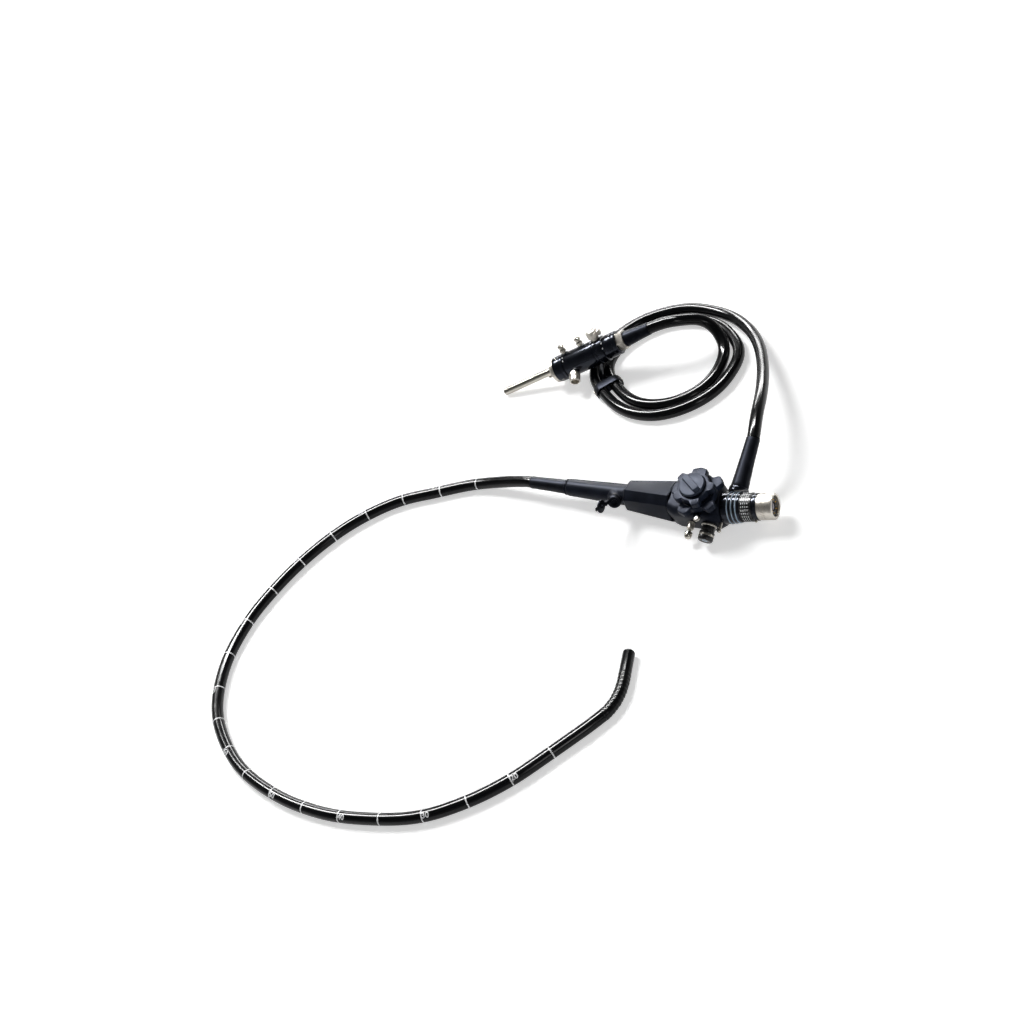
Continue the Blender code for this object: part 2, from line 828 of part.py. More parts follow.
def make_inside(handle, paint):
    """Chassis plate, centre post, drums with their sleeves, pull wires, fibre bundle and suction tube."""
    inner_y = body_half_width - body_wall
    inner_z = body_half_depth - body_wall
    inner_corner = body_corner - body_wall / 2
    bottom = chassis_level - chassis_thickness / 2
    top = chassis_level + chassis_thickness / 2
    drop = max(0.0, -bottom - (inner_z - inner_corner))
    half_y = inner_y - inner_corner + math.sqrt(inner_corner**2 - drop**2) - 2 * clearance
    front = -body_front + 0.0095
    rear = body_rear - 0.0215
    chassis = block("chassis", (front, -half_y, bottom), (rear, half_y, top), 0.0003)
    place_piece("chassis", chassis, paint["plate"], handle)

    flange = 0.0012
    low = top + clearance
    knob_top = rl_knob_bottom() + knob_height
    post_top = knob_top - 0.0018
    profile = [
        (low, 0),
        (low, post_radius + 0.0030),
        (low + flange, post_radius + 0.0030),
        (low + flange, post_radius),
        (post_top, post_radius),
        (post_top, 0),
    ]
    place_piece("centre_post", turned("centre_post", profile), paint["steel"], handle, along_z())

    low += flange + clearance
    rl_top = rl_wheel_bottom() + rl_wheel_height - 0.0020
    rl_drum = drum_mesh("rl_drum", low, rl_top, post_radius + clearance, rl_sleeve_radius)
    place_piece("rl_drum", rl_drum, paint["steel"], handle, along_z())
    rl_groove = low + drum_height / 2
    low += drum_height + clearance
    ud_top = ud_wheel_bottom() + ud_wheel_height - 0.0020
    ud_drum = drum_mesh("ud_drum", low, ud_top, rl_sleeve_radius + clearance, ud_sleeve_radius)
    place_piece("ud_drum", ud_drum, paint["steel"], handle, along_z())
    ud_groove = low + drum_height / 2

    for name, level in (("rl_wire", rl_groove), ("ud_wire", ud_groove)):
        wrap = drum_radius - 0.0010 + wire_radius + clearance
        route = [Vector((wire_end, wrap, level)), Vector((wire_end / 2, wrap, level))]
        for step in range(13):
            angle = math.radians(90 - 15 * step)
            route.append(Vector((wrap * math.cos(angle), wrap * math.sin(angle), level)))
        route += [Vector((wire_end / 2, -wrap, level)), Vector((wire_end, -wrap, level))]
        tube_along(name, route, wire_radius, paint["wire"], handle, resolution=1)

    lead = Vector((bundle_lead - body_front - grip_length - channel_housing_length, 0.0010, 0))
    bundle = smooth_route([lead] + [Vector(point) for point in bundle_points], 0.010)[0]
    tube_along("fibre_bundle", bundle, bundle_radius, paint["bundle"], handle, resolution=2)
    suction = smooth_route([Vector(point) for point in suction_points], 0.010)[0]
    tube_along("suction_tube", suction, suction_tube_radius, paint["hose"], handle, resolution=2)


def drum_mesh(name, low, top, bore, sleeve):
    """Grooved drum with its sleeve, about X."""
    high = low + drum_height
    groove = 0.0010
    land = 0.0011
    profile = [
        (low, bore),
        (low, drum_radius),
        (low + land, drum_radius),
        (low + land, drum_radius - groove),
        (high - land, drum_radius - groove),
        (high - land, drum_radius),
        (high, drum_radius),
        (high, sleeve),
        (top, sleeve),
        (top, bore),
    ]
    return turned(name, profile)


def brake_bottom():
    return body_half_depth + boss_height + clearance


def ud_wheel_bottom():
    return brake_bottom() + brake_height + clearance


def rl_wheel_bottom():
    return ud_wheel_bottom() + ud_wheel_height + wheel_gap


def rl_knob_bottom():
    return rl_wheel_bottom() + rl_wheel_height + clearance


def make_controls(handle, paint):
    """Brake lever, the two wheels and the brake knob, stacked on the shaft."""
    bore = ud_sleeve_radius + clearance
    top = brake_height
    edge = 0.0005
    profile = [(0, bore), (0, brake_radius - edge), (edge, brake_radius), (top - edge, brake_radius)]
    profile += [(top, brake_radius - edge), (top, bore)]
    mesh = turned("brake_lever", profile, fine_sides)
    mesh.transform(along_z())
    turn = Matrix.Rotation(math.radians(brake_angle), 4, "Z")
    place = Matrix.Translation((0, 0, brake_bottom())) @ turn
    lever = place_piece("brake_lever", mesh, paint["body"], handle, place)
    arm = block("arm", (brake_radius - 0.0020, -0.0042, 0.0002), (brake_reach, 0.0042, top - 0.0002), 0.0008)
    change_by(lever, arm, "UNION")

    mesh = wheel_mesh("ud_wheel", ud_wheel_radius, ud_wheel_valley, ud_wheel_height, bore, ud_wheel_hub)
    turn = Matrix.Rotation(math.radians(ud_wheel_phase), 4, "Z")
    place = Matrix.Translation((0, 0, ud_wheel_bottom())) @ turn
    place_piece("ud_wheel", mesh, paint["wheel"], handle, place)

    bore = rl_sleeve_radius + clearance
    mesh = wheel_mesh("rl_wheel", rl_wheel_radius, rl_wheel_valley, rl_wheel_height, bore, rl_wheel_hub)
    turn = Matrix.Rotation(math.radians(rl_wheel_phase), 4, "Z")
    place = Matrix.Translation((0, 0, rl_wheel_bottom())) @ turn
    place_piece("rl_wheel", mesh, paint["wheel"], handle, place)

    bore = post_radius + clearance
    roof = knob_height - 0.0016
    profile = [
        (0, bore),
        (0, knob_radius - 0.0010),
        (0.0010, knob_radius),
        (knob_height - 0.0008, knob_radius),
        (knob_height, knob_radius - 0.0008),
        (knob_height, 0),
        (roof, 0),
        (roof, bore),
    ]
    mesh = turned_cup("brake_knob", profile, fine_sides)
    mesh.transform(along_z())
    turn = Matrix.Rotation(math.radians(knob_bar_angle), 4, "Z")
    place = Matrix.Translation((0, 0, rl_knob_bottom())) @ turn
    knob = place_piece("brake_knob", mesh, paint["knob"], handle, place)
    reach = knob_radius - 0.0012
    half = knob_bar_width / 2
    low = (-reach, -half, knob_height - 0.0006)
    bar = block("bar", low, (reach, half, knob_height + knob_bar_height), 0.0010)
    change_by(knob, bar, "UNION")


def turned_cup(name, profile, sides):
    """Closed mesh turned from a profile whose last points but one lie on the axis."""
    first = next(i for i, point in enumerate(profile) if point[1] == 0)
    return turned(name, profile[first + 1:] + profile[: first + 1], sides)


def make_valves(handle, paint):
    """Suction and air valves: a fixed sleeve through the front wall and a cap that is pushed in."""
    place = valve_place(suction_station)
    bore = suction_radius - 0.0034
    out = suction_sleeve_length
    profile = [
        (-inside_reach(), bore),
        (-inside_reach(), suction_radius),
        (out - 0.0006, suction_radius),
        (out, suction_radius - 0.0006),
        (out, bore),
    ]
    place_piece("suction_sleeve", turned("suction_sleeve", profile, fine_sides), paint["body"], handle, place)
    stem = bore - clearance
    skirt = suction_radius + clearance
    outer = skirt + 0.0007
    overlap = 0.0015
    stem_end = out - 0.0090
    roof = out + suction_travel + clearance
    top = out - overlap + suction_cap_length
    profile = [
        (stem_end, 0),
        (stem_end, stem),
        (roof, stem),
        (roof, skirt),
        (out - overlap, skirt),
        (out - overlap, outer),
        (top - 0.0012, outer),
        (top, outer - 0.0012),
        (top, 0),
    ]
    mesh = turned("suction_cap", profile, fine_sides)
    place_piece("suction_cap", mesh, paint["cap"], handle, place)

    place = valve_place(air_station)
    bore = air_radius - 0.0016
    out = air_sleeve_length
    profile = [
        (-inside_reach(), bore),
        (-inside_reach(), air_radius),
        (out - 0.0005, air_radius),
        (out, air_radius - 0.0005),
        (out, bore),
    ]
    place_piece("air_sleeve", turned("air_sleeve", profile), paint["body"], handle, place)
    stem = bore - clearance
    start = out + air_travel + clearance
    profile = [(out - 0.0080, 0), (out - 0.0080, stem), (start, stem)]
    for step in range(7):
        angle = math.radians(-62 + 152 * step / 6)
        along = start + air_cap_radius * (math.sin(angle) + math.sin(math.radians(62)))
        profile.append((along, max(air_cap_radius * math.cos(angle), 0.0)))
    profile[-1] = (profile[-1][0], 0)
    place_piece("air_cap", turned("air_cap", profile), paint["steel"], handle, place)

    profile = [(-0.0050, 0), (-0.0050, stud_radius), (stud_neck, stud_radius)]
    for step in range(6):
        angle = math.radians(-45 + 135 * step / 5)
        along = stud_neck + stud_ball * (math.sin(angle) + math.sin(math.radians(45)))
        profile.append((along, stud_ball * math.cos(angle)))
    profile[-1] = (profile[-1][0], 0)
    mesh = turned("leak_test_stud", profile)
    place_piece("leak_test_stud", mesh, paint["steel"], handle, valve_place(stud_station))


def inside_reach():
    """How far a valve sleeve runs into the body: short of the drums."""
    return body_half_width - drum_radius - 0.0012


def make_eyepiece(handle, paint):
    """Neck with its rings, dioptre ring, index ring, mount ring, contact plate and lens."""
    place = eyepiece_place()
    spigot = neck_rear_radius - neck_wall
    bore = spigot - 0.0022
    spigot_end = neck_length + diopter_length + index_length + 3 * clearance + 0.0035
    profile = [(clearance, neck_front_radius - neck_wall)]
    for step in range(neck_rings):
        share = (step + 0.5) / neck_rings
        along = neck_length * share
        radius = neck_front_radius + (neck_rear_radius - neck_front_radius) * share
        profile.append((along - 0.0014, radius))
        profile.append((along - 0.0008, radius + neck_ring_proud))
        profile.append((along + 0.0008, radius + neck_ring_proud))
        profile.append((along + 0.0014, radius))
    profile.insert(1, (clearance, neck_front_radius))
    profile += [
        (neck_length, neck_rear_radius),
        (neck_length, spigot),
        (spigot_end, spigot),
        (spigot_end, bore),
        (neck_length - 0.0040, bore),
    ]
    place_piece("eyepiece_neck", turned("eyepiece_neck", profile, fine_sides), paint["grip"], handle, place)

    sleeve = spigot + clearance
    start = neck_length + clearance
    count = 2 * diopter_ribs
    end = start + diopter_length
    rings = [
        circle(sleeve, start, count),
        ribbed(diopter_radius, 0.0006, start, count),
        ribbed(diopter_radius, 0, start + 0.0006, count),
        ribbed(diopter_radius, 0, end - 0.0006, count),
        ribbed(diopter_radius, 0.0006, end, count),
        circle(sleeve, end, count),
    ]
    mesh = lofted("diopter_ring", rings, hollow=True)
    mesh.transform(Matrix.Rotation(math.pi / 2, 4, "Y"))
    place_piece("diopter_ring", mesh, paint["grip"], handle, place)

    start = end + clearance
    end = start + index_length
    edge = 0.0005
    profile = [(start, sleeve), (start, index_radius - edge), (start + edge, index_radius)]
    profile += [(end - edge, index_radius), (end, index_radius - edge), (end, sleeve)]
    mesh = turned("index_ring", profile, fine_sides)
    index = place_piece("index_ring", mesh, paint["body"], handle, place)
    pin = [(index_radius - 0.001, 0), (index_radius - 0.001, 0.0016), (index_radius + 0.0022, 0.0016)]
    pin += [(index_radius + 0.0028, 0.0010), (index_radius + 0.0028, 0)]
    middle = Matrix.Translation(((start + end) / 2, 0, 0))
    turn = Matrix.Rotation(math.radians(index_pin_turn), 4, "X")
    change_by(index, turned("index_pin", pin), "UNION", middle @ turn @ along_z())

    start = end + clearance
    end = start + mount_ring_length
    seat = spigot_end + clearance
    floor = end - mount_recess
    profile = [
        (start, sleeve),
        (start, mount_ring_radius - 0.0003),
        (start + 0.0060, mount_ring_radius),
        (start + 0.0066, mount_ring_radius - 0.0006),
        (start + 0.0080, mount_ring_radius - 0.0006),
        (start + 0.0086, mount_ring_radius),
        (end - 0.0010, mount_ring_radius - 0.0002),
        (end, mount_ring_radius - 0.0012),
        (end, mount_bore),
        (floor, mount_bore),
        (floor, mount_bore - 0.0016),
        (seat, mount_bore - 0.0016),
        (seat, sleeve),
    ]
    place_piece("mount_ring", turned("mount_ring", profile, fine_sides), paint["steel"], handle, place)

    low = floor + clearance
    high = low + contact_plate_thickness
    plate = mount_bore - clearance
    hole = lens_radius + clearance
    profile = [(low, hole), (low, plate), (high, plate), (high, hole)]
    mesh = turned("contact_plate", profile, fine_sides)
    plate_piece = place_piece("contact_plate", mesh, paint["body"], handle, place)
    ring = (hole + plate) / 2
    for i in range(contact_count):
        angle = math.tau * i / contact_count
        pin = [(high - 0.0005, 0), (high - 0.0005, 0.0007), (high + 0.0009, 0.0007), (high + 0.0009, 0)]
        spot = Matrix.Translation((0, ring * math.cos(angle), ring * math.sin(angle)))
        change_by(plate_piece, turned("contact", pin, 8), "UNION", spot)
    profile = [(low, 0), (low, lens_radius), (high - 0.0004, lens_radius), (high, lens_radius * 0.7)]
    profile.append((high + 0.0004, 0))
    place_piece("eyepiece_lens", turned("eyepiece_lens", profile), paint["glass"], handle, place)

    place = cord_place()
    low = 0.008
    profile = [(low, 0), (low, cord_socket_radius), (cord_socket_out - 0.0015, cord_socket_radius)]
    profile += [(cord_socket_out, cord_socket_radius - 0.0012), (cord_socket_out, 0)]
    socket = place_piece("cord_socket", turned("cord_socket", profile, 8), paint["grip"], handle, place)
    keep_out = neck_front_radius + neck_ring_proud + clearance
    slug = [(-0.02, 0), (-0.02, keep_out), (0.06, keep_out), (0.06, 0)]
    into = place.inverted() @ eyepiece_place()
    change_by(socket, turned("neck_space", slug, 48), "DIFFERENCE", into)
    low = cord_socket_out + clearance
    boot = turned("cord_boot", boot_profile(cord_boot_length, cord_boot_tip_radius, cord_boot_base_radius))
    boot.transform(Matrix.Translation((low + cord_boot_length, 0, 0)) @ Matrix.Rotation(math.pi, 4, "Z"))
    place_piece("cord_boot", boot, paint["rubber"], handle, place)


def ribbed(radius, inset, height, count):
    rib = 0.0005
    ring = []
    for i in range(count):
        angle = math.tau * i / count
        reach = radius - inset - (rib if i % 2 else 0)
        ring.append(Vector((reach * math.cos(angle), reach * math.sin(angle), height)))
    return ring


def route_between(leave, points, arrive):
    """Smooth route through the points, with a straight length at each end along that end's X axis."""
    lead = Vector((end_straight, 0, 0))
    inner = [leave @ lead] + [Vector(point) for point in points] + [arrive @ -lead]
    return [leave.translation] + smooth_route(inner, route_spacing)[0] + [arrive.translation]


def make_insertion_tube(layout, handle_frame, paint):
    """Tube from the handle's boot, along the table, to the bending section. Returns the frame of its end."""
    back = Matrix.Rotation(math.pi, 4, "Z")
    leave = handle_frame @ Matrix.Translation((tube_boot_end() - clearance, 0, 0)) @ back
    heading = Matrix.Rotation(math.radians(tube_heading), 4, "Z")
    arrive = Matrix.Translation(tube_points[-1]) @ heading
    route = route_between(leave, tube_points[:-1], arrive)
    tube_along("insertion_tube", route, tube_diameter / 2, paint["tube"], layout)
    return arrive


def wedge(name, across):
    """Space in front of a hinge, from its axis outwards, but for the round tongue."""
    reach = 0.0080
    rise = reach * math.tan(math.radians(hinge_cut))
    outline = [(hinge_gap, 0), (hinge_gap + rise, reach), (-0.0034, reach)]
    outline += [(-0.0034, -reach), (hinge_gap + rise, -reach)]
    rings = [[Vector((x, y, z)) for x, y in outline] for z in (-reach, reach)]
    mesh = lofted(name, rings)
    mesh.transform(across)
    return mesh


def pin_along_z(name, radius, bore=0.0, reach=0.0085):
    """Round bar along Z through the hinge."""
    profile = [(-reach, bore), (-reach, radius), (reach, radius), (reach, bore)]
    mesh = turned(name, profile, pin_sides)
    mesh.transform(along_z())
    return mesh


def cut_rear_hinge(piece):
    """Two inner tongues with rivets at the piece's origin, hinged on its Z axis."""
    space = change_by(piece, wedge("wedge", Matrix.Identity(4)), "DIFFERENCE")
    change_by(space, pin_along_z("tongue", tongue_radius), "DIFFERENCE")
    pocket = pin_along_z("pocket", tongue_radius + clearance, rivet_radius)
    over = change_by(piece, pocket, "DIFFERENCE")
    core = [(-0.009, 0), (-0.009, inner_layer), (0.009, inner_layer), (0.009, 0)]
    change_by(over, turned("core", core, link_sides), "DIFFERENCE")


def cut_front_hinge(piece, station):
    """Two outer tongues with rivet holes, hinged on an axis along Y at this station."""
    place = Matrix.Translation((station, 0, 0)) @ Matrix.Rotation(math.pi / 2, 4, "X")
    back = Matrix.Rotation(math.pi, 4, "Z")
    space = change_by(piece, wedge("wedge", back), "DIFFERENCE", place)
    change_by(space, pin_along_z("tongue", tongue_radius), "DIFFERENCE")
    pocket = pin_along_z("pocket", tongue_radius + clearance)
    under = change_by(piece, pocket, "DIFFERENCE", place)
    core = [(-0.009, 0), (-0.009, outer_layer), (0.009, outer_layer), (0.009, 0)]
    change_by(under, turned("core", core, link_sides), "INTERSECT")
    change_by(piece, pin_along_z("rivet_hole", rivet_radius + clearance), "DIFFERENCE", place)


def ring_mesh(name, profile_front, profile_rear, bore, sides=link_sides):
    """Open tube mesh between two stations; each end is (along, radius)."""
    (low, low_radius), (high, high_radius) = profile_front, profile_rear
    return turned(name, [(low, bore), (low, low_radius), (high, high_radius), (high, bore)], sides)


def quarter(turn):
    return Matrix.Rotation(math.pi / 2 if turn else 0.0, 4, "X")


def make_bending_section(layout, tube_end, paint):
    """Ferrule, seven hinged links and the tip, bent at rest as they lie on the table."""
    reach = tongue_radius
    station = ferrule_length + clearance
    profile = [
        (clearance, link_bore),
        (clearance, tube_diameter / 2),
        (ferrule_length * 0.45, tube_diameter / 2),
        (ferrule_length * 0.45 + 0.0004, link_radius),
        (station + reach, link_radius),
        (station + reach, link_bore),
    ]
    place = tube_end @ quarter(True)
    base = place_piece("bend_base", turned("bend_base", profile, link_sides), paint["link"], layout, place)
    cut_front_hinge(base, station)

    frame = tube_end @ Matrix.Translation((station, 0, 0))
    frames = []
    for bend in rest_bends:
        frame = frame @ Matrix.Rotation(math.radians(bend), 4, "Z")
        frames.append(frame)
        frame = frame @ Matrix.Translation((link_pitch, 0, 0))

    for i, frame in enumerate(frames[:-1]):
        name = f"bend_link_{i + 1}"
        mesh = ring_mesh(name, (-reach, link_radius), (link_pitch + reach, link_radius), link_bore)
        link = place_piece(name, mesh, paint["link"], layout, frame @ quarter(i % 2))
        cut_rear_hinge(link)
        cut_front_hinge(link, link_pitch)

    shoulder = 0.0042
    floor = 0.0075
    profile = [(floor, 0), (floor, link_bore), (-reach, link_bore), (-reach, link_radius)]
    profile += [(shoulder, link_radius), (shoulder + 0.0003, tip_radius)]
    for step in range(5):
        angle = math.radians(90 - 22.5 * step)
        along = tip_length - tip_round + tip_round * math.cos(angle)
        radius = tip_radius - tip_round + tip_round * math.sin(angle)
        profile.append((along, radius))
    profile.append((tip_length, 0))
    mesh = turned("distal_tip", profile, link_sides)
    place = frames[-1] @ quarter(True)
    tip = place_piece("distal_tip", mesh, paint["tip"], layout, place)
    cut_rear_hinge(tip)
    drill = [(floor - 0.001, 0), (floor - 0.001, tip_channel_radius)]
    drill += [(tip_length + 0.001, tip_channel_radius), (tip_length + 0.001, 0)]
    change_by(tip, turned("channel", drill), "DIFFERENCE", Matrix.Translation((0, 0.0022, -0.0020)))
    low = tip_length - 0.0020
    seat = tip_lens_radius + clearance
    high = tip_length + past
    drill = [(low - clearance, 0), (low - clearance, seat), (high, seat), (high, 0)]
    spot = Matrix.Translation((0, -0.0014, 0.0016))
    change_by(tip, turned("lens_seat", drill), "DIFFERENCE", spot)
    profile = [(low, 0), (low, tip_lens_radius), (tip_length - 0.0002, tip_lens_radius), (tip_length, 0)]
    place_piece("objective_lens", turned("objective_lens", profile), paint["glass"], tip, spot)


def tube_boot_end():
    front = -body_front - grip_length - clearance - channel_housing_length - clearance
    return front - boot_ring_length - clearance - boot_length


def connector_place():
    turn = Matrix.Rotation(math.radians(connector_heading), 4, "Z")
    rise = Matrix.Rotation(-math.radians(connector_rise), 4, "Y")
    lean = turn @ rise
    level = rod_radius * math.cos(math.radians(connector_rise)) + 0.0001
    tip = Vector((*connector_tip, level))
    return Matrix.Translation(tip) @ lean @ Matrix.Translation((0, 0, -rod_offset))


def band(name, low, high, radius, front_edge, rear_edge, sides=fine_sides):
    """Solid turned band with chamfered rims."""
    profile = [(low, 0), (low, radius - front_edge), (low + front_edge, radius)]
    profile += [(high - rear_edge, radius), (high, radius - rear_edge), (high, 0)]
    return turned(name, profile, sides)


def fitting(station, lean_from_up):
    """Frame of a fitting on the connector: X leaves the body square to its axis."""
    turn = Matrix.Rotation(math.radians(lean_from_up), 4, "X")
    return Matrix.Translation((station, 0, 0)) @ turn @ Matrix.Rotation(-math.pi / 2, 4, "Y")


def seat_on(piece_place, radius):
    """Tool for seating a fitting: the body's cylinder, grown by the clearance, seen from the fitting."""
    mesh = turned("seat", [(-0.03, 0), (-0.03, radius), (0.20, radius), (0.20, 0)], fine_sides)
    mesh.transform(piece_place.inverted())
    return mesh


def make_connector(layout, paint):
    """Light guide rod, collars, body, fittings, nut and rear boot along one leaning axis."""
    place = connector_place()
    rod = band("light_guide_rod", 0, rod_length - clearance, rod_radius, 0.0008, 0.0002, plain_sides)
    lift = place @ Matrix.Translation((0, 0, rod_offset))
    place_piece("light_guide_rod", rod, paint["steel"], layout, lift)
    low = rod_length - clearance - air_pipe_length
    pipe = turned(
        "air_pipe",
        [
            (low, air_pipe_radius * 0.5),
            (low, air_pipe_radius),
            (rod_length - clearance, air_pipe_radius),
            (rod_length - clearance, air_pipe_radius * 0.5),
        ],
        12,
    )
    drop = place @ Matrix.Translation((0, 0, air_pipe_offset))
    place_piece("air_pipe", pipe, paint["steel"], layout, drop)

    low = rod_length
    high = low + front_ring_length
    ring = band("front_ring", low, high, front_ring_radius, 0.0022, 0.0004)
    place_piece("front_ring", ring, paint["steel"], layout, place)
    low = high + clearance
    high = low + front_collar_length
    collar = band("front_collar", low, high, front_collar_radius, 0.0005, 0.0008)
    place_piece("front_collar", collar, paint["body"], layout, place)

    low = high + clearance
    high = low + connector_body_length
    body_end = high + step_ring_length + rear_collar_length
    groove = 0.0010
    step_end = high + step_ring_length
    profile = [
        (low, 0),
        (low, connector_body_radius - 0.0008),
        (low + 0.0008, connector_body_radius),
        (high - groove, connector_body_radius),
        (high - groove, connector_body_radius - groove),
        (high, connector_body_radius - groove),
        (high + 0.0005, step_ring_radius),
        (step_end - 0.0005, step_ring_radius),
        (step_end, rear_collar_radius - groove),
        (step_end + groove, rear_collar_radius - groove),
        (step_end + groove, rear_collar_radius),
        (body_end - 0.0008, rear_collar_radius),
        (body_end, rear_collar_radius - 0.0008),
        (body_end, 0),
    ]
    mesh = turned("connector_body", profile, fine_sides)
    place_piece("connector_body", mesh, paint["body"], layout, place)

    low = body_end + clearance
    high = low + nut_length
    nut = band("hex_nut", low, high, nut_radius, 0.0006, 0.0006, 6)
    place_piece("hex_nut", nut, paint["steel"], layout, place)
    low = high + clearance
    boot = turned("rear_boot", boot_profile(rear_boot_length, cord_boot_tip_radius, rear_boot_base_radius))
    boot.transform(Matrix.Translation((low + rear_boot_length, 0, 0)) @ Matrix.Rotation(math.pi, 4, "Z"))
    place_piece("rear_boot", boot, paint["rubber"], layout, place)

    make_fittings(layout, place, paint)
    return place, low + rear_boot_length


def make_fittings(layout, place, paint):
    """Two nipples, the vent barrel and the suction fitting, seated on the connector's body."""
    lean = nipple_lean - 90
    out = connector_body_radius
    for name, station in (("front_nipple", front_nipple_station), ("rear_nipple", rear_nipple_station)):
        spot = fitting(station, lean)
        neck = nipple_radius * 0.72
        end = out + nipple_length
        profile = [
            (out - 0.002, 0),
            (out - 0.002, neck),
            (out + 0.0030, neck),
            (out + 0.0036, nipple_radius),
            (out + 0.0070, nipple_radius),
            (out + 0.0074, neck),
            (out + 0.0084, neck),
            (out + 0.0088, nipple_radius),
            (end - 0.0005, nipple_radius),
            (end, nipple_radius - 0.0005),
            (end, nipple_radius * 0.5),
            (end - 0.0040, nipple_radius * 0.5),
            (end - 0.0040, 0),
        ]
        piece = place_piece(name, turned(name, profile, 16), paint["steel"], layout, place @ spot)
        change_by(piece, seat_on(spot, connector_body_radius + clearance), "DIFFERENCE")

    spot = fitting(barrel_station, lean)
    out = step_ring_radius
    end = out + barrel_length
    profile = [
        (out - 0.002, 0),
        (out - 0.002, barrel_radius * 0.62),
        (out + 0.0030, barrel_radius * 0.62),
        (out + 0.0040, barrel_radius),
        (end - 0.0012, barrel_radius),
        (end, barrel_radius - 0.0012),
        (end, 0),
    ]
    barrel = place_piece("vent_barrel", turned("vent_barrel", profile), paint["steel"], layout, place @ spot)
    change_by(barrel, seat_on(spot, step_ring_radius + clearance), "DIFFERENCE")
    knob = bpy.data.meshes.new("barrel_knob")
    shape = bmesh.new()
    bmesh.ops.create_uvsphere(shape, u_segments=14, v_segments=8, radius=0.0040)
    shape.to_mesh(knob)
    shape.free()
    side = Matrix.Translation((out + 0.0064, 0, -barrel_radius - 0.0012))
    change_by(barrel, knob, "UNION", side)

    spot = fitting(suction_fitting_station, suction_fitting_lean)
    out = connector_body_radius
    end = out + suction_fitting_length
    profile = [
        (out - 0.003, 0),
        (out - 0.003, suction_fitting_radius * 0.8),
        (out + 0.0020, suction_fitting_radius * 0.8),
        (out + 0.0028, suction_fitting_radius),
        (end - 0.0006, suction_fitting_radius),
        (end, suction_fitting_radius - 0.0006),
        (end, suction_fitting_radius - 0.0016),
        (end - 0.0060, suction_fitting_radius - 0.0020),
        (end - 0.0060, 0),
    ]
    mesh = turned("suction_fitting", profile)
    piece = place_piece("suction_fitting", mesh, paint["steel"], layout, place @ spot)
    change_by(piece, seat_on(spot, connector_body_radius + clearance), "DIFFERENCE")


def make_cord(layout, handle_frame, connector_end, paint):
    """Light guide cord from the handle's boot round its two turns to the connector's boot."""
    out = cord_socket_out + clearance + cord_boot_length + clearance
    leave = handle_frame @ cord_place() @ Matrix.Translation((out, 0, 0))
    place, station = connector_end
    back = Matrix.Rotation(math.pi, 4, "Z")
    arrive = place @ Matrix.Translation((station + clearance, 0, 0)) @ back
    route = route_between(leave, cord_points, arrive)
    tube_along("light_guide_cord", route, cord_diameter / 2, paint["tube"], layout)


def make_clip(layout, paint):
    """Arched clip over the two turns, open underneath, with a metal end on each side."""
    outer = Vector(clip_outer)
    inner = Vector(clip_inner)
    across = (inner - outer).normalized()
    along = Vector((0, 0, 1)).cross(across)
    frame = Matrix((across, along, Vector((0, 0, 1)))).transposed().to_4x4()
    middle = (outer + inner) / 2
    place = Matrix.Translation(middle) @ frame
    half = (inner - outer).length / 2
    inside = cord_diameter / 2 + clip_clearance
    outside = inside + clip_wall
    outline = []
    for radius, sign in ((outside, 1), (inside, -1)):
        arc = []
        for step in range(9):
            angle = math.radians(-28 + 118 * step / 8)
            arc.append((half + radius * math.cos(angle), radius * math.sin(angle)))
        side = arc + [(-x, z) for x, z in arc[::-1]]
        outline += side[::sign]
    width = clip_width / 2
    rings = [[Vector((x, y, z)) for x, z in outline] for y in (-width, width)]
    place_piece("cord_clip", lofted("cord_clip", rings), paint["rubber"], layout, place)


def bounds_of(handle):
    """Lowest and highest corners of all that the handle carries."""
    bpy.context.view_layer.update()
    graph = bpy.context.evaluated_depsgraph_get()
    low = Vector((1e9, 1e9, 1e9))
    high = -low
    for piece in handle.children:
        if piece.hide_render:
            continue
        shaped = piece.evaluated_get(graph)
        for point in shaped.to_mesh().vertices:
            spot = shaped.matrix_world @ point.co
            low = Vector(map(min, low, spot))
            high = Vector(map(max, high, spot))
        shaped.to_mesh_clear()
    return low, high


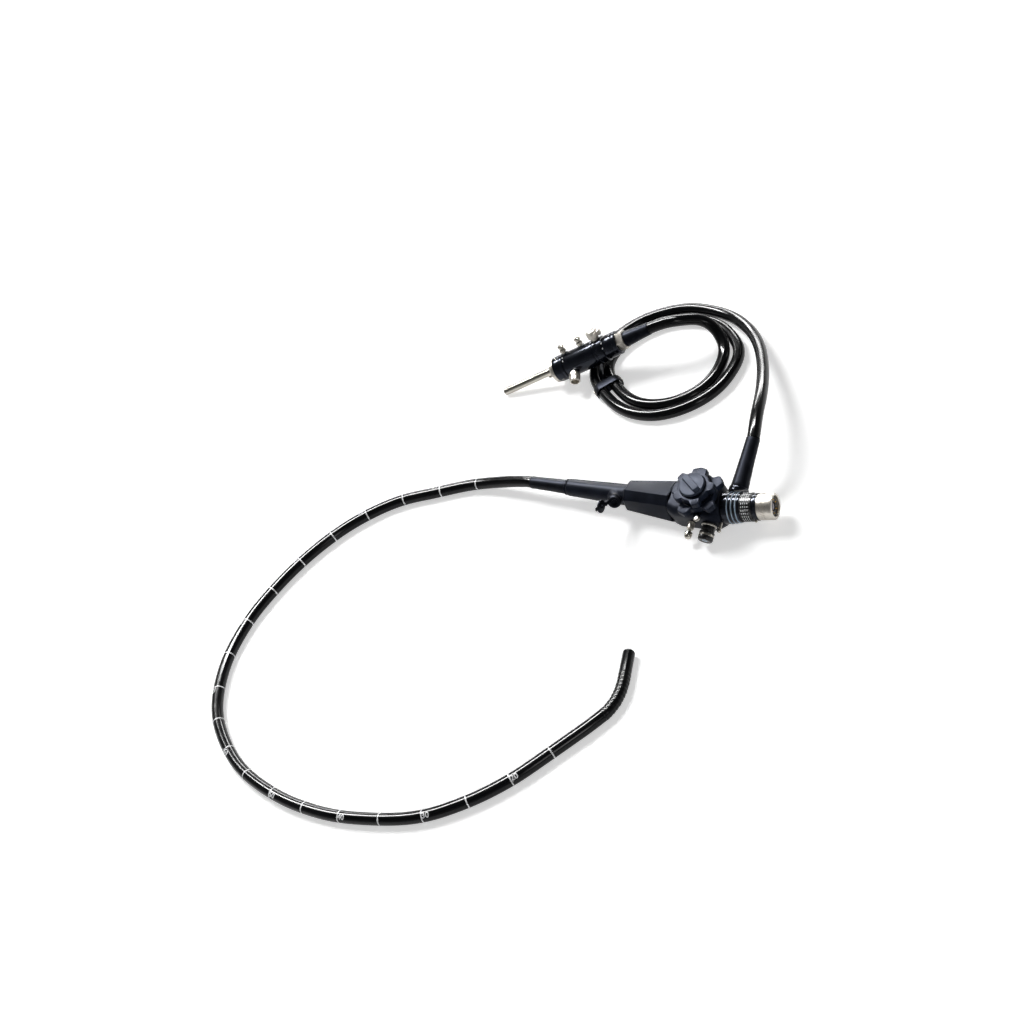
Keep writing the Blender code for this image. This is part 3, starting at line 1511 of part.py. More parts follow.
def main():
    clear_scene()
    paint = {
        "rubber": finish("black rubber", (0.020, 0.021, 0.024), 0.45),
        "grip": finish("slate grip plastic", (0.075, 0.085, 0.105), 0.42),
        "body": finish("dark body plastic", (0.045, 0.050, 0.062), 0.35),
        "wheel": finish("slate wheel plastic", (0.110, 0.125, 0.155), 0.38),
        "knob": finish("knob plastic", (0.100, 0.115, 0.150), 0.40),
        "cap": finish("button plastic", (0.060, 0.065, 0.080), 0.30),
        "plate": finish("pale metal", (0.620, 0.640, 0.660), 0.30, 1.0),
        "steel": finish("bright steel", (0.800, 0.780, 0.750), 0.18, 1.0),
        "wire": finish("wire steel", (0.560, 0.560, 0.570), 0.30, 1.0),
        "link": finish("link steel", (0.500, 0.510, 0.530), 0.28, 1.0),
        "tube": finish("tube jacket", (0.016, 0.017, 0.020), 0.16),
        "tip": finish("tip plastic", (0.022, 0.023, 0.027), 0.20),
        "bundle": finish("fibre jacket", (0.250, 0.180, 0.120), 0.50),
        "hose": finish("inner hose", (0.700, 0.700, 0.680), 0.45),
        "glass": finish("lens glass", (0.060, 0.080, 0.110), 0.05),
    }
    layout = bpy.data.objects.new("layout", None)
    handle = bpy.data.objects.new("handle", None)
    for empty in (layout, handle):
        bpy.context.scene.collection.objects.link(empty)
    handle.parent = layout
    roll = Matrix.Rotation(math.radians(handle_roll), 4, "X")
    handle.matrix_local = Matrix.Translation((handle_x, 0, 0)) @ roll

    make_front(handle, paint)
    make_port(handle, paint)
    make_body(handle, paint)
    make_inside(handle, paint)
    make_controls(handle, paint)
    make_valves(handle, paint)
    make_eyepiece(handle, paint)

    low, high = bounds_of(handle)
    handle.location.z = -low.z
    layout.location = (-(low.x + high.x) / 2, -(low.y + high.y) / 2, 0)
    handle_frame = Matrix.Translation((handle_x, 0, -low.z)) @ roll
    tube_end = make_insertion_tube(layout, handle_frame, paint)
    make_bending_section(layout, tube_end, paint)
    connector_end = make_connector(layout, paint)
    make_cord(layout, handle_frame, connector_end, paint)
    make_clip(layout, paint)
    bpy.context.view_layer.update()


main()
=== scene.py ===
import json
import math

import bmesh
import bpy
from mathutils import Matrix, Vector


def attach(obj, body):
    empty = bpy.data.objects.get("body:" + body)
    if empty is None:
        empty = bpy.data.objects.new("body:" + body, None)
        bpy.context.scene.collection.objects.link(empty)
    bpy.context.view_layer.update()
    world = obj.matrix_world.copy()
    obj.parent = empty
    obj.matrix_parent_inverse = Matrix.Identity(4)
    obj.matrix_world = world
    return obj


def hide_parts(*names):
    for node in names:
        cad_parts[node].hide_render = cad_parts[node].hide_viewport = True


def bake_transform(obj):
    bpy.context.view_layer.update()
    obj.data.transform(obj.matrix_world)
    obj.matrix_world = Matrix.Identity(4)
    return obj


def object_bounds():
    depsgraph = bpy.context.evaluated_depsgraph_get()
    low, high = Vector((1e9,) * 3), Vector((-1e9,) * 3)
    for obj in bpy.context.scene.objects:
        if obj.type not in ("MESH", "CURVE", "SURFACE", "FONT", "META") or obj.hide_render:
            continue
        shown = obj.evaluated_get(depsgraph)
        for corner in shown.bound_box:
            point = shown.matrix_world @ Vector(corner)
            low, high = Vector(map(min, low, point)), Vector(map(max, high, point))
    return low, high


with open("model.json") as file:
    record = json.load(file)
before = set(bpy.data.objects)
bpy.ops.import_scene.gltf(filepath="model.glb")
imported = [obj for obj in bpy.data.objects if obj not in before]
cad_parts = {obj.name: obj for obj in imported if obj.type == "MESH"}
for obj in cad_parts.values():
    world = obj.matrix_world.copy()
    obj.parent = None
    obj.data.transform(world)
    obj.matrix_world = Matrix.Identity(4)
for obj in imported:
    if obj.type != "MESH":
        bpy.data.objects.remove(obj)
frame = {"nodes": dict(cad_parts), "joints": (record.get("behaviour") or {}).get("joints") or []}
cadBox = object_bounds()
mm = 0.001
clearance = 0.3  # millimetres between neighbouring pieces
joints = {joint["name"]: joint for joint in frame["joints"]}
root = "handle_and_cords"
asDrawn = Matrix.Identity(4)  # for a piece that is drawn in its place


# Frames that the pieces are drawn in

def frameFrom(origin, xAxis, zHint):
    # a frame at origin with its X along xAxis and its Z near zHint
    x = Vector(xAxis).normalized()
    y = Vector(zHint).cross(x).normalized()
    z = x.cross(y)
    return Matrix.Translation(origin) @ Matrix((x, y, z)).transposed().to_4x4()


def jointPoint(name):
    return Vector(joints[name]["pos_m"])


def jointAxis(name):
    return Vector(joints[name]["axis"]).normalized()


def turnAbout(axis, degrees):
    return Matrix.Rotation(math.radians(degrees), 4, axis)


def move(x, y, z):
    return Matrix.Translation((x * mm, y * mm, z * mm))


stack = {
    "udWheelLevel": 23.2,  # millimetres above the handle's middle line
    "rlWheelLevel": 33.2,
    "knobLevel": 41.5,
    "leverLevel": 20.5,
}
wheelAxis = jointAxis("ud_wheel_turn")
handleOrigin = jointPoint("ud_wheel_turn") - wheelAxis * stack["udWheelLevel"] * mm
handlePlace = frameFrom(handleOrigin, (1, 0, 0), wheelAxis)
zToX = turnAbout("Y", 90)  # lays a piece drawn along Z on the X axis
# the eyepiece begins 24 mm behind the wheels and bends by 10 degrees
eyepieceTurn = move(24, 0, 0) @ turnAbout("Z", 10)
eyepiecePlace = handlePlace @ eyepieceTurn @ zToX


# The camera stands where the perspective of the photograph puts it

camera = {
    "place": (1.0339, -1.0641, 1.4010),
    "right": (0.8099, 0.4509, -0.3753),
    "back": (0.5746, -0.4807, 0.6623),
    "lens": 62.97,  # millimetres on a 36 mm sensor
}


def addCamera():
    bpy.ops.object.camera_add(location=camera["place"])
    eye = bpy.context.object
    right = Vector(camera["right"]).normalized()
    back = Vector(camera["back"]).normalized()
    up = back.cross(right).normalized()
    back = right.cross(up)
    turn = Matrix((right, up, back)).transposed()
    eye.matrix_world = Matrix.Translation(camera["place"]) @ turn.to_4x4()
    eye.data.lens = camera["lens"]
    eye.data.sensor_width = 36
    eye.data.clip_end = 50
    bpy.context.scene.camera = eye


# Light: a pale studio, its key lamp and a bright reflecting strip at the upper left

studio = {
    "floor": "#f4f4f4",
    "floorGlow": 0.50,  # lifts the floor to white where no shadow falls
    "floorSize": 14.0,
    "wallLight": 0.45,
    "ceilingLight": 0.10,
}
lamps = {
    # direction from the object, distance and size in metres, watts, its long side's direction, what it lights
    "keyLamp": {
        "from": (-0.55, 0.30, 0.80), "distance": 5.0, "size": (1.8, 1.8), "power": 185.0,
        "along": (1, 0, 0), "lights": "diffuse",
    },
    "stripLamp": {
        "from": (-0.36, 0.37, 0.86), "distance": 8.0, "size": (1.0, 7.5), "power": 3200.0,
        "along": (0.85, 0.45, 0.22), "lights": "glossy",
    },  # draws the white lines along the cords
    "softLamp": {
        "from": (-0.60, 0.10, 0.80), "distance": 8.0, "size": (5.0, 4.0), "power": 36.0,
        "along": (1, 0.4, 0.2), "lights": "glossy",
    },
    "rimLamp": {
        "from": (-0.42, 0.85, 0.32), "distance": 8.0, "size": (0.8, 6.0), "power": 600.0,
        "along": (0.8, 0.6, 0), "lights": "glossy",
    },
    "fillLamp": {
        "from": (0.75, -0.45, 0.50), "distance": 6.0, "size": (0.6, 2.0), "power": 30.0,
        "along": (0, 0, 1), "lights": "all",
    },
}


def addLamp(name, look):
    # an area lamp that looks at the middle of the object
    middle = (cadBox[0] + cadBox[1]) / 2
    back = Vector(look["from"]).normalized()
    bpy.ops.object.light_add(type="AREA")
    lamp = bpy.context.object
    lamp.name = name
    lamp.data.shape = "RECTANGLE"
    lamp.data.size, lamp.data.size_y = look["size"]
    lamp.data.energy = look["power"]
    lamp.visible_diffuse = look["lights"] != "glossy"
    lamp.visible_glossy = look["lights"] != "diffuse"
    side = Vector(look["along"]).cross(back).normalized()
    turn = Matrix((side, back.cross(side), back)).transposed()
    lamp.matrix_world = Matrix.Translation(middle + back * look["distance"]) @ turn.to_4x4()


def addFloor():
    bpy.ops.object.select_all(action="DESELECT")
    bpy.ops.mesh.primitive_plane_add(size=studio["floorSize"], location=(0, 0, -0.0001))
    floor = bpy.context.object
    floor.name = "floor"
    paint = bpy.data.materials.new("matt white floor paint")
    paint.use_nodes = True
    tree = paint.node_tree
    shader = tree.nodes["Principled BSDF"]
    shader.inputs["Base Color"].default_value = colourOf(studio["floor"])
    shader.inputs["Roughness"].default_value = 0.9
    shader.inputs["Specular IOR Level"].default_value = 0.1
    shader.inputs["Emission Color"].default_value = (1, 1, 1, 1)
    path = addNode(tree, "ShaderNodeLightPath")
    seen = addNode(
        tree, "ShaderNodeMath", operation="MAXIMUM",
        links={0: path.outputs["Is Camera Ray"], 1: path.outputs["Is Glossy Ray"]},
    )
    seenToo = addNode(
        tree, "ShaderNodeMath", operation="MAXIMUM",
        links={0: seen.outputs["Value"], 1: path.outputs["Is Transmission Ray"]},
    )
    glow = addNode(
        tree, "ShaderNodeMath", operation="MULTIPLY", links={0: seenToo.outputs["Value"]},
        values={1: studio["floorGlow"]},
    )
    tree.links.new(glow.outputs["Value"], shader.inputs["Emission Strength"])
    floor.data.materials.append(paint)


def addStudio():
    addFloor()
    world = bpy.data.worlds.new("studio")
    bpy.context.scene.world = world
    world.use_nodes = True
    tree = world.node_tree
    where = addNode(tree, "ShaderNodeTexCoord")
    parts = addNode(tree, "ShaderNodeSeparateXYZ", links={"Vector": where.outputs["Generated"]})
    height = addNode(
        tree, "ShaderNodeMapRange", links={"Value": parts.outputs["Z"]},
        values={
            "From Min": 0.05, "From Max": 0.60, "To Min": studio["wallLight"], "To Max": studio["ceilingLight"],
        },
    )
    tree.links.new(height.outputs["Result"], tree.nodes["Background"].inputs["Color"])
    for name, look in lamps.items():
        addLamp(name, look)
    bpy.context.scene.view_settings.view_transform = "Standard"


# Materials

def colourOf(hexCode):
    channels = [int(hexCode[i:i + 2], 16) / 255 for i in (1, 3, 5)]
    bent = [c / 12.92 if c <= 0.04045 else ((c + 0.055) / 1.055) ** 2.4 for c in channels]
    return (*bent, 1.0)


def addNode(tree, kind, values=None, links=None, **settings):
    # adds a node with its settings, its socket values and what feeds its sockets
    node = tree.nodes.new(kind)
    for name, value in settings.items():
        setattr(node, name, value)
    for socket, value in (values or {}).items():
        node.inputs[socket].default_value = value
    for socket, source in (links or {}).items():
        tree.links.new(source, node.inputs[socket])
    return node


finishes = {
    # name: colour, second colour, roughness and its spread, blotch and grain in mm, grain depth in mm
    "moulded black polyurethane jacket": {
        "colours": ("#040507", "#08090c"), "roughness": (0.13, 0.22), "blotch": 24.0, "grain": 1.2,
        "depth": 0.006, "fixed": {"Specular IOR Level": 0.20, "IOR": 1.5},
    },  # wet-looking plastic skin: nearly black, mirror lines, a few dull wipe marks
    "moulded black nitrile rubber and painted shade": {
        "colours": ("#08090b", "#0f1013"), "roughness": (0.34, 0.48), "blotch": 9.0, "grain": 0.45,
        "depth": 0.016, "tint": "#a9b4d4", "fixed": {"Specular IOR Level": 0.15, "IOR": 1.52},
    },  # dull black with a fine bloom; also the strip of painted shade between the cord's turns
    "glossy fluoroelastomer sleeve": {
        "colours": ("#050607", "#0a0b0d"), "roughness": (0.14, 0.24), "blotch": 5.0, "grain": 0.6,
        "depth": 0.014, "fixed": {"Specular IOR Level": 0.22, "IOR": 1.45},
    },  # stretched thin skin, shiny where it lies over the links
    "slate modified PPO grip moulding": {
        "colours": ("#0d1018", "#131721"), "roughness": (0.36, 0.46), "blotch": 14.0, "grain": 0.35,
        "depth": 0.012, "tint": "#b4bdd6", "fixed": {"Specular IOR Level": 0.12, "IOR": 1.53},
    },  # grey-blue satin with a spark-eroded grain
    "dark modified PPO body moulding": {
        "colours": ("#07090e", "#0d1017"), "roughness": (0.13, 0.20), "blotch": 12.0, "grain": 0.35,
        "depth": 0.006, "tint": "#c3cbe0", "fixed": {"Specular IOR Level": 0.36, "IOR": 1.53},
    },  # the same plastic, darker and smoother
    "slate PBT wheel moulding": {
        "colours": ("#151a25", "#1e2432"), "roughness": (0.36, 0.48), "blotch": 8.0, "grain": 0.30,
        "depth": 0.010, "tint": "#b4bdd6", "fixed": {"Specular IOR Level": 0.12, "IOR": 1.55},
    },  # grey-blue, rubbed smoother by thumbs
    "grey PBT knob moulding": {
        "colours": ("#2b313d", "#353c49"), "roughness": (0.38, 0.50), "blotch": 7.0, "grain": 0.30,
        "depth": 0.010, "tint": "#b4bdd6", "fixed": {"Specular IOR Level": 0.14, "IOR": 1.55},
    },  # one tone lighter than the wheels
    "black hard anodised aluminium": {
        "colours": ("#08090b", "#0f1013"), "roughness": (0.22, 0.32), "blotch": 6.0, "grain": 0.25,
        "depth": 0.006, "fixed": {"Specular IOR Level": 0.35, "IOR": 1.6},
    },  # hard black with a dry sheen
    "ice blue silicone ring": {
        "colours": ("#9fb6cb", "#c3d5e4"), "roughness": (0.30, 0.42), "blotch": 4.0, "grain": 0.5,
        "depth": 0.006, "fixed": {"Specular IOR Level": 0.5, "IOR": 1.43},
    },  # pale blue and soft
    "white marking ink and painted glints": {
        "colours": ("#f1f3f5", "#ffffff"), "roughness": (0.35, 0.55), "blotch": 3.0, "grain": 0.5,
        "depth": 0.004, "fixed": {"Specular IOR Level": 0.4, "IOR": 1.5},
    },  # thick white print, and also the painted highlights on the dioptre ring
    "PTFE inner hose": {
        "colours": ("#c9c9c3", "#d9d9d4"), "roughness": (0.38, 0.50), "blotch": 6.0, "grain": 0.5,
        "depth": 0.006, "fixed": {"IOR": 1.38},
    },  # waxy milk white
    "silicone fibre jacket": {
        "colours": ("#5a4636", "#6b5442"), "roughness": (0.48, 0.60), "blotch": 6.0, "grain": 0.6,
        "depth": 0.010, "fixed": {"IOR": 1.43},
    },  # dull brown skin of the fibre bundle
}
metals = {
    "polished stainless steel": {
        "colours": ("#aeaaa2", "#b9b5ac"), "roughness": (0.15, 0.19), "blotch": 9.0, "grain": 0.9,
        "depth": 0.0003,
    },  # turned and buffed, with a warm cast
    "satin chromed brass": {
        "colours": ("#bcb7af", "#c9c4bb"), "roughness": (0.27, 0.33), "blotch": 9.0, "grain": 0.9,
        "depth": 0.0004,
    },  # pale, and blurs what it mirrors
    "drawn steel wire": {
        "colours": ("#9b9b9d", "#b3b3b5"), "roughness": (0.28, 0.40), "blotch": 3.0, "grain": 0.3,
        "depth": 0.004,
    },  # plain grey, drawn through a die
    "gold plated contact": {
        "colours": ("#c99a3f", "#e0b45a"), "roughness": (0.18, 0.28), "blotch": 1.0, "grain": 0.2,
        "depth": 0.002,
    },  # a bright yellow dot
}
textures = {
    # noise detail of the blotches and of the grain, where each tone is full, strength of the grain
    "plastic": {"blotchDetail": 4.0, "grainDetail": 2.0, "tonesAt": (0.35, 0.70), "bump": 0.5, "metallic": 0.0},
    "metal": {"blotchDetail": 3.0, "grainDetail": 1.0, "tonesAt": (0.35, 0.68), "bump": 0.4, "metallic": 1.0},
}
paints = {}


def addFinish(name, look, kind):
    # two tones in soft blotches, a grain as fine bumps, and a roughness that wanders with one of them
    texture = textures[kind]
    material = bpy.data.materials.new(name)
    material.use_nodes = True
    tree = material.node_tree
    shader = tree.nodes["Principled BSDF"]
    where = addNode(tree, "ShaderNodeTexCoord").outputs["Object"]
    blotch = addNode(
        tree, "ShaderNodeTexNoise", links={"Vector": where},
        values={"Scale": 1000 / look["blotch"], "Detail": texture["blotchDetail"], "Roughness": 0.6},
    )
    mix = addNode(tree, "ShaderNodeValToRGB", links={"Fac": blotch.outputs["Fac"]})
    for stop, position, colour in zip(mix.color_ramp.elements, texture["tonesAt"], look["colours"]):
        stop.position = position
        stop.color = colourOf(colour)
    grain = addNode(
        tree, "ShaderNodeTexNoise", links={"Vector": where},
        values={"Scale": 1000 / look["grain"], "Detail": texture["grainDetail"], "Roughness": 0.5},
    )
    low, high = look["roughness"]
    wander = grain if kind == "metal" else blotch
    gloss = addNode(
        tree, "ShaderNodeMapRange", links={"Value": wander.outputs["Fac"]},
        values={"From Min": 0.3, "From Max": 0.7, "To Min": low, "To Max": high},
    )
    bump = addNode(
        tree, "ShaderNodeBump", links={"Height": grain.outputs["Fac"]},
        values={"Strength": texture["bump"], "Distance": look["depth"] * mm},
    )
    tree.links.new(mix.outputs["Color"], shader.inputs["Base Color"])
    tree.links.new(gloss.outputs["Result"], shader.inputs["Roughness"])
    tree.links.new(bump.outputs["Normal"], shader.inputs["Normal"])
    shader.inputs["Metallic"].default_value = texture["metallic"]
    shader.inputs["Specular Tint"].default_value = colourOf(look.get("tint", "#ffffff"))
    for socket, value in look.get("fixed", {}).items():
        shader.inputs[socket].default_value = value
    paints[name] = material


def addLensGlass():
    # dark glass whose coating turns from blue to violet towards its rim
    material = bpy.data.materials.new("coated crown glass lens")
    material.use_nodes = True
    tree = material.node_tree
    shader = tree.nodes["Principled BSDF"]
    slant = addNode(tree, "ShaderNodeLayerWeight", values={"Blend": 0.35})
    tint = addNode(tree, "ShaderNodeValToRGB", links={"Fac": slant.outputs["Facing"]})
    tint.color_ramp.elements[0].color = colourOf("#0a1020")
    tint.color_ramp.elements[1].color = colourOf("#3a2a66")
    tree.links.new(tint.outputs["Color"], shader.inputs["Base Color"])
    glass = {"Roughness": 0.03, "IOR": 1.52, "Coat Weight": 0.6, "Coat Roughness": 0.02}
    for socket, value in glass.items():
        shader.inputs[socket].default_value = value
    paints["coated crown glass lens"] = material


def addMaterials():
    for name, look in finishes.items():
        addFinish(name, look, "plastic")
    for name, look in metals.items():
        addFinish(name, look, "metal")
    addLensGlass()


# Modelling by hand: a round face is drawn and pushed on from ring to ring

def turnedRings(profile, sides=48):
    # round rings along Z, from pairs of height and radius in millimetres
    angles = [math.tau * i / sides for i in range(sides)]
    return [[Vector((r * math.cos(a), r * math.sin(a), h)) * mm for a in angles] for h, r in profile]


def stackRings(name, rings, through=False):
    # every ring is a list of points; through takes off the two end faces, so the piece is open at both ends
    bpy.ops.object.select_all(action="DESELECT")
    bpy.ops.mesh.primitive_circle_add(vertices=len(rings[0]), fill_type="NGON")
    piece = bpy.context.object
    piece.name = name
    bpy.ops.object.mode_set(mode="EDIT")
    bpy.ops.mesh.select_mode(type="FACE")
    for step, ring in enumerate(rings):
        if step:
            bpy.ops.mesh.extrude_region_move()
        shape = bmesh.from_edit_mesh(piece.data)
        cap = next(face for face in shape.faces if face.select)
        for corner, point in zip(cap.verts, ring):
            corner.co = point
        bmesh.update_edit_mesh(piece.data)
    if through:
        for face in shape.faces:
            face.select = len(face.verts) > 4
        bpy.ops.mesh.delete(type="FACE")
    bpy.ops.mesh.select_all(action="SELECT")
    bpy.ops.mesh.remove_doubles(threshold=0.002 * mm)
    bpy.ops.mesh.normals_make_consistent(inside=False)
    bpy.ops.object.mode_set(mode="OBJECT")
    return piece


def turnedPiece(name, profile, sides=48, through=False):
    return stackRings(name, turnedRings(profile, sides), through)


def boxPiece(name, low, high, edge=0.0):
    # a cube set between two corners in millimetres, with its edges bevelled
    bpy.ops.object.select_all(action="DESELECT")
    bpy.ops.mesh.primitive_cube_add(size=1)
    piece = bpy.context.object
    piece.name = name
    low, high = Vector(low) * mm, Vector(high) * mm
    for corner in piece.data.vertices:
        corner.co = Vector(h if c > 0 else l for c, l, h in zip(corner.co, low, high))
    if edge:
        bevelEdges(piece, edge, 3)
    return piece


def applyChange(piece, kind, **settings):
    # adds a modifier and applies it
    bpy.ops.object.select_all(action="DESELECT")
    piece.select_set(True)
    bpy.context.view_layer.objects.active = piece
    change = piece.modifiers.new(kind.lower(), kind)
    for name, value in settings.items():
        setattr(change, name, value)
    bpy.ops.object.modifier_apply(modifier=change.name)


def bevelEdges(piece, width, segments=2, angle=30):
    applyChange(
        piece, "BEVEL", width=width * mm, segments=segments, limit_method="ANGLE",
        angle_limit=math.radians(angle), harden_normals=False,
    )


def carve(piece, tool, operation="DIFFERENCE", place=None):
    # cuts or joins the tool, which stands in the piece's own frame, and removes it
    if place:
        tool.data.transform(place)
    applyChange(piece, "BOOLEAN", object=tool, operation=operation, solver="EXACT")
    bpy.data.objects.remove(tool, do_unlink=True)


def copyPiece(piece, place):
    # one more of the same, with its own mesh, moved by the given place
    twin = piece.copy()
    twin.data = piece.data.copy()
    bpy.context.scene.collection.objects.link(twin)
    twin.data.transform(place)
    return twin


def joinPieces(name, pieces):
    bpy.ops.object.select_all(action="DESELECT")
    for piece in pieces:
        piece.select_set(True)
    bpy.context.view_layer.objects.active = pieces[0]
    bpy.ops.object.join()
    pieces[0].name = name
    return pieces[0]


def finishPiece(piece, place, paint, body=root, stands=(), edge=0.0, angle=32):
    # bevels the sharp edges, sets the mesh in its place, and gives the piece its material and body
    if edge:
        bevelEdges(piece, edge)
    piece.data.transform(place)
    piece.data.update()
    bpy.ops.object.select_all(action="DESELECT")
    piece.select_set(True)
    bpy.context.view_layer.objects.active = piece
    bpy.ops.object.mode_set(mode="EDIT")
    bpy.ops.mesh.select_all(action="SELECT")
    bpy.ops.mesh.normals_make_consistent(inside=False)
    bpy.ops.object.mode_set(mode="OBJECT")
    bpy.ops.object.shade_smooth_by_angle(angle=math.radians(angle), keep_sharp_edges=False)
    piece.data.materials.clear()
    piece.data.materials.append(paints[paint])
    if body:
        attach(piece, body)
    if stands:
        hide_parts(*stands)
    return piece


# Cords: the insertion tube and the light guide cord, along points given in metres

shift = Vector((0.07081, -0.01580, 0.0))  # the points are from the middle of the control section
insertion = {
    "diameter": 0.0138,
    "length": 1.150,
    "points": (
        (-0.2440, 0.0010, 0.0210), (-0.2620, 0.0010, 0.0170), (-0.2780, 0.0000, 0.0140),
        (-0.2970, -0.0010, 0.0105), (-0.3150, -0.0030, 0.0080), (-0.3320, -0.0070, 0.0070),
        (-0.3550, -0.0190, 0.0069), (-0.4130, -0.0460, 0.0069), (-0.4580, -0.0880, 0.0069),
        (-0.4890, -0.1400, 0.0069), (-0.5080, -0.1970, 0.0069), (-0.5160, -0.2580, 0.0069),
        (-0.5060, -0.3230, 0.0069), (-0.4710, -0.3850, 0.0069), (-0.4060, -0.4340, 0.0069),
        (-0.3320, -0.4580, 0.0069), (-0.2600, -0.4640, 0.0069), (-0.1980, -0.4560, 0.0069),
        (-0.1420, -0.4390, 0.0069), (-0.0980, -0.4100, 0.0069), (-0.0620, -0.3740, 0.0069),
        (-0.0325, -0.3320, 0.0069),
    ),
    "end": (0.0030, -0.2760, 0.0070),
    "heading": 62.0,
    "easedPoints": 30,  # points of 5 mm from the boot on that are smoothed more
}
lightGuide = {
    "diameter": 0.0144,
    "length": 1.376,
    "points": (
        (0.0340, 0.0960, 0.0565), (0.0297, 0.1105, 0.0565), (0.0247, 0.1285, 0.0535),
        (0.0175, 0.1475, 0.0495), (0.0085, 0.1675, 0.0445), (-0.0014, 0.1880, 0.0390),
        (-0.0128, 0.2085, 0.0335), (-0.0257, 0.2295, 0.0280), (-0.0413, 0.2505, 0.0225),
        (-0.0610, 0.2716, 0.0165), (-0.0830, 0.2890, 0.0120), (-0.1010, 0.3000, 0.0088),
        (-0.1260, 0.3085, 0.0075), (-0.1560, 0.3120, 0.0074), (-0.1790, 0.3090, 0.0074),
        (-0.2010, 0.3000, 0.0074), (-0.2220, 0.2860, 0.0074), (-0.2400, 0.2640, 0.0074),
        (-0.2500, 0.2390, 0.0074), (-0.2520, 0.2120, 0.0074), (-0.2430, 0.1860, 0.0074),
        (-0.2300, 0.1710, 0.0074), (-0.2100, 0.1550, 0.0074), (-0.1910, 0.1430, 0.0074),
        (-0.1700, 0.1350, 0.0074), (-0.1530, 0.1325, 0.0074), (-0.1360, 0.1330, 0.0074),
        (-0.1200, 0.1375, 0.0074), (-0.1040, 0.1460, 0.0074), (-0.0890, 0.1580, 0.0074),
        (-0.0755, 0.1750, 0.0074), (-0.0675, 0.1940, 0.0074), (-0.0645, 0.2140, 0.0074),
        (-0.0652, 0.2345, 0.0074), (-0.0728, 0.2530, 0.0074), (-0.0865, 0.2670, 0.0074),
        (-0.1010, 0.2790, 0.0074), (-0.1190, 0.2880, 0.0074), (-0.1385, 0.2925, 0.0074),
        (-0.1600, 0.2930, 0.0074), (-0.1840, 0.2880, 0.0074), (-0.2050, 0.2760, 0.0074),
        (-0.2220, 0.2580, 0.0074), (-0.2330, 0.2360, 0.0074), (-0.2345, 0.2130, 0.0074),
        (-0.2270, 0.1950, 0.0074), (-0.2165, 0.1828, 0.0074), (-0.2025, 0.1710, 0.0074),
        (-0.1865, 0.1602, 0.0074), (-0.1705, 0.1525, 0.0074), (-0.1538, 0.1492, 0.0074),
        (-0.1380, 0.1498, 0.0074), (-0.1210, 0.1548, 0.0074), (-0.1050, 0.1650, 0.0074),
        (-0.0925, 0.1790, 0.0074), (-0.0852, 0.1960, 0.0074), (-0.0828, 0.2150, 0.0074),
        (-0.0848, 0.2330, 0.0080), (-0.0882, 0.2460, 0.0100), (-0.0935, 0.2550, 0.0150),
        (-0.1020, 0.2625, 0.0220), (-0.1105, 0.2660, 0.0300), (-0.1200, 0.2640, 0.0375),
        (-0.1280, 0.2580, 0.0440), (-0.1365, 0.2505, 0.0490), (-0.1460, 0.2440, 0.0525),
    ),
    "outOfBody": 83.1,  # millimetres from the handle's middle line to the end of its boot
    "bootEnd": 212.1,  # millimetres from the rod's tip to the end of the connector's boot
    "easedPoints": 18,  # points of 5 mm from the boot on that are smoothed more
}
cordLead = 10.0  # millimetres that a cord runs straight at each end
cordSpacing = 0.005  # metres between a cord's points


def routeLengths(route):
    lengths = [0.0]
    for a, b in zip(route, route[1:]):
        lengths.append(lengths[-1] + (b - a).length)
    return lengths


def smoothRoute(points, spacing):
    # evenly spaced points on a smooth curve through the given ones
    dense = []
    last = len(points) - 1
    for i in range(last):
        before, start = points[max(i - 1, 0)], points[i]
        end, after = points[i + 1], points[min(i + 2, last)]
        for step in range(24):
            t = step / 24
            pull = 2 * start + (end - before) * t + (2 * before - 5 * start + 4 * end - after) * t * t
            dense.append((pull + (3 * start - before - 3 * end + after) * t**3) / 2)
    dense.append(points[-1])
    lengths = routeLengths(dense)
    count = round(lengths[-1] / spacing)
    route = []
    spot = 0
    for i in range(count + 1):
        wanted = lengths[-1] * i / count
        while spot < len(dense) - 2 and lengths[spot + 1] < wanted:
            spot += 1
        share = (wanted - lengths[spot]) / (lengths[spot + 1] - lengths[spot])
        route.append(dense[spot].lerp(dense[spot + 1], share))
    return route


def easedRoute(route, pulls, rounds):
    # each point moves towards the middle of its neighbours, and the ends stay
    for _ in range(rounds):
        for pull in pulls:
            middle = [b.lerp((a + c) / 2, pull) for a, b, c in zip(route, route[1:], route[2:])]
            route = route[:1] + middle + route[-1:]
    return route


def routeBetween(leave, points, arrive, ease):
    # a route through the points, straight at both ends along the end frames' X axes
    lead = Vector((cordLead * mm, 0, 0))
    inner = [leave @ lead] + [Vector(point) + shift for point in points] + [arrive @ -lead]
    route = [leave.translation] + smoothRoute(inner, cordSpacing) + [arrive.translation]
    # this pair of pulls takes out bends shorter than about 30 mm and keeps the wide ones
    route = easedRoute(route, (0.5, -0.53), 40)
    return route[:1] + easedRoute(route[1:ease], (0.5,), ease) + route[ease:]


def addCord(name, route, diameter, node):
    # a round tube as a curve of one open spline
    line = bpy.data.curves.new(name, "CURVE")
    line.dimensions = "3D"
    line.bevel_depth = diameter / 2
    line.bevel_resolution = 7
    line.use_fill_caps = True
    spline = line.splines.new("POLY")
    spline.points.add(len(route) - 1)
    for point, place in zip(spline.points, route):
        point.co = (*place, 1)
    spline.use_smooth = True
    line.materials.append(paints["moulded black polyurethane jacket"])
    tube = bpy.data.objects.new(name, line)
    bpy.context.scene.collection.objects.link(tube)
    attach(tube, root)
    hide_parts(node)
    return tube


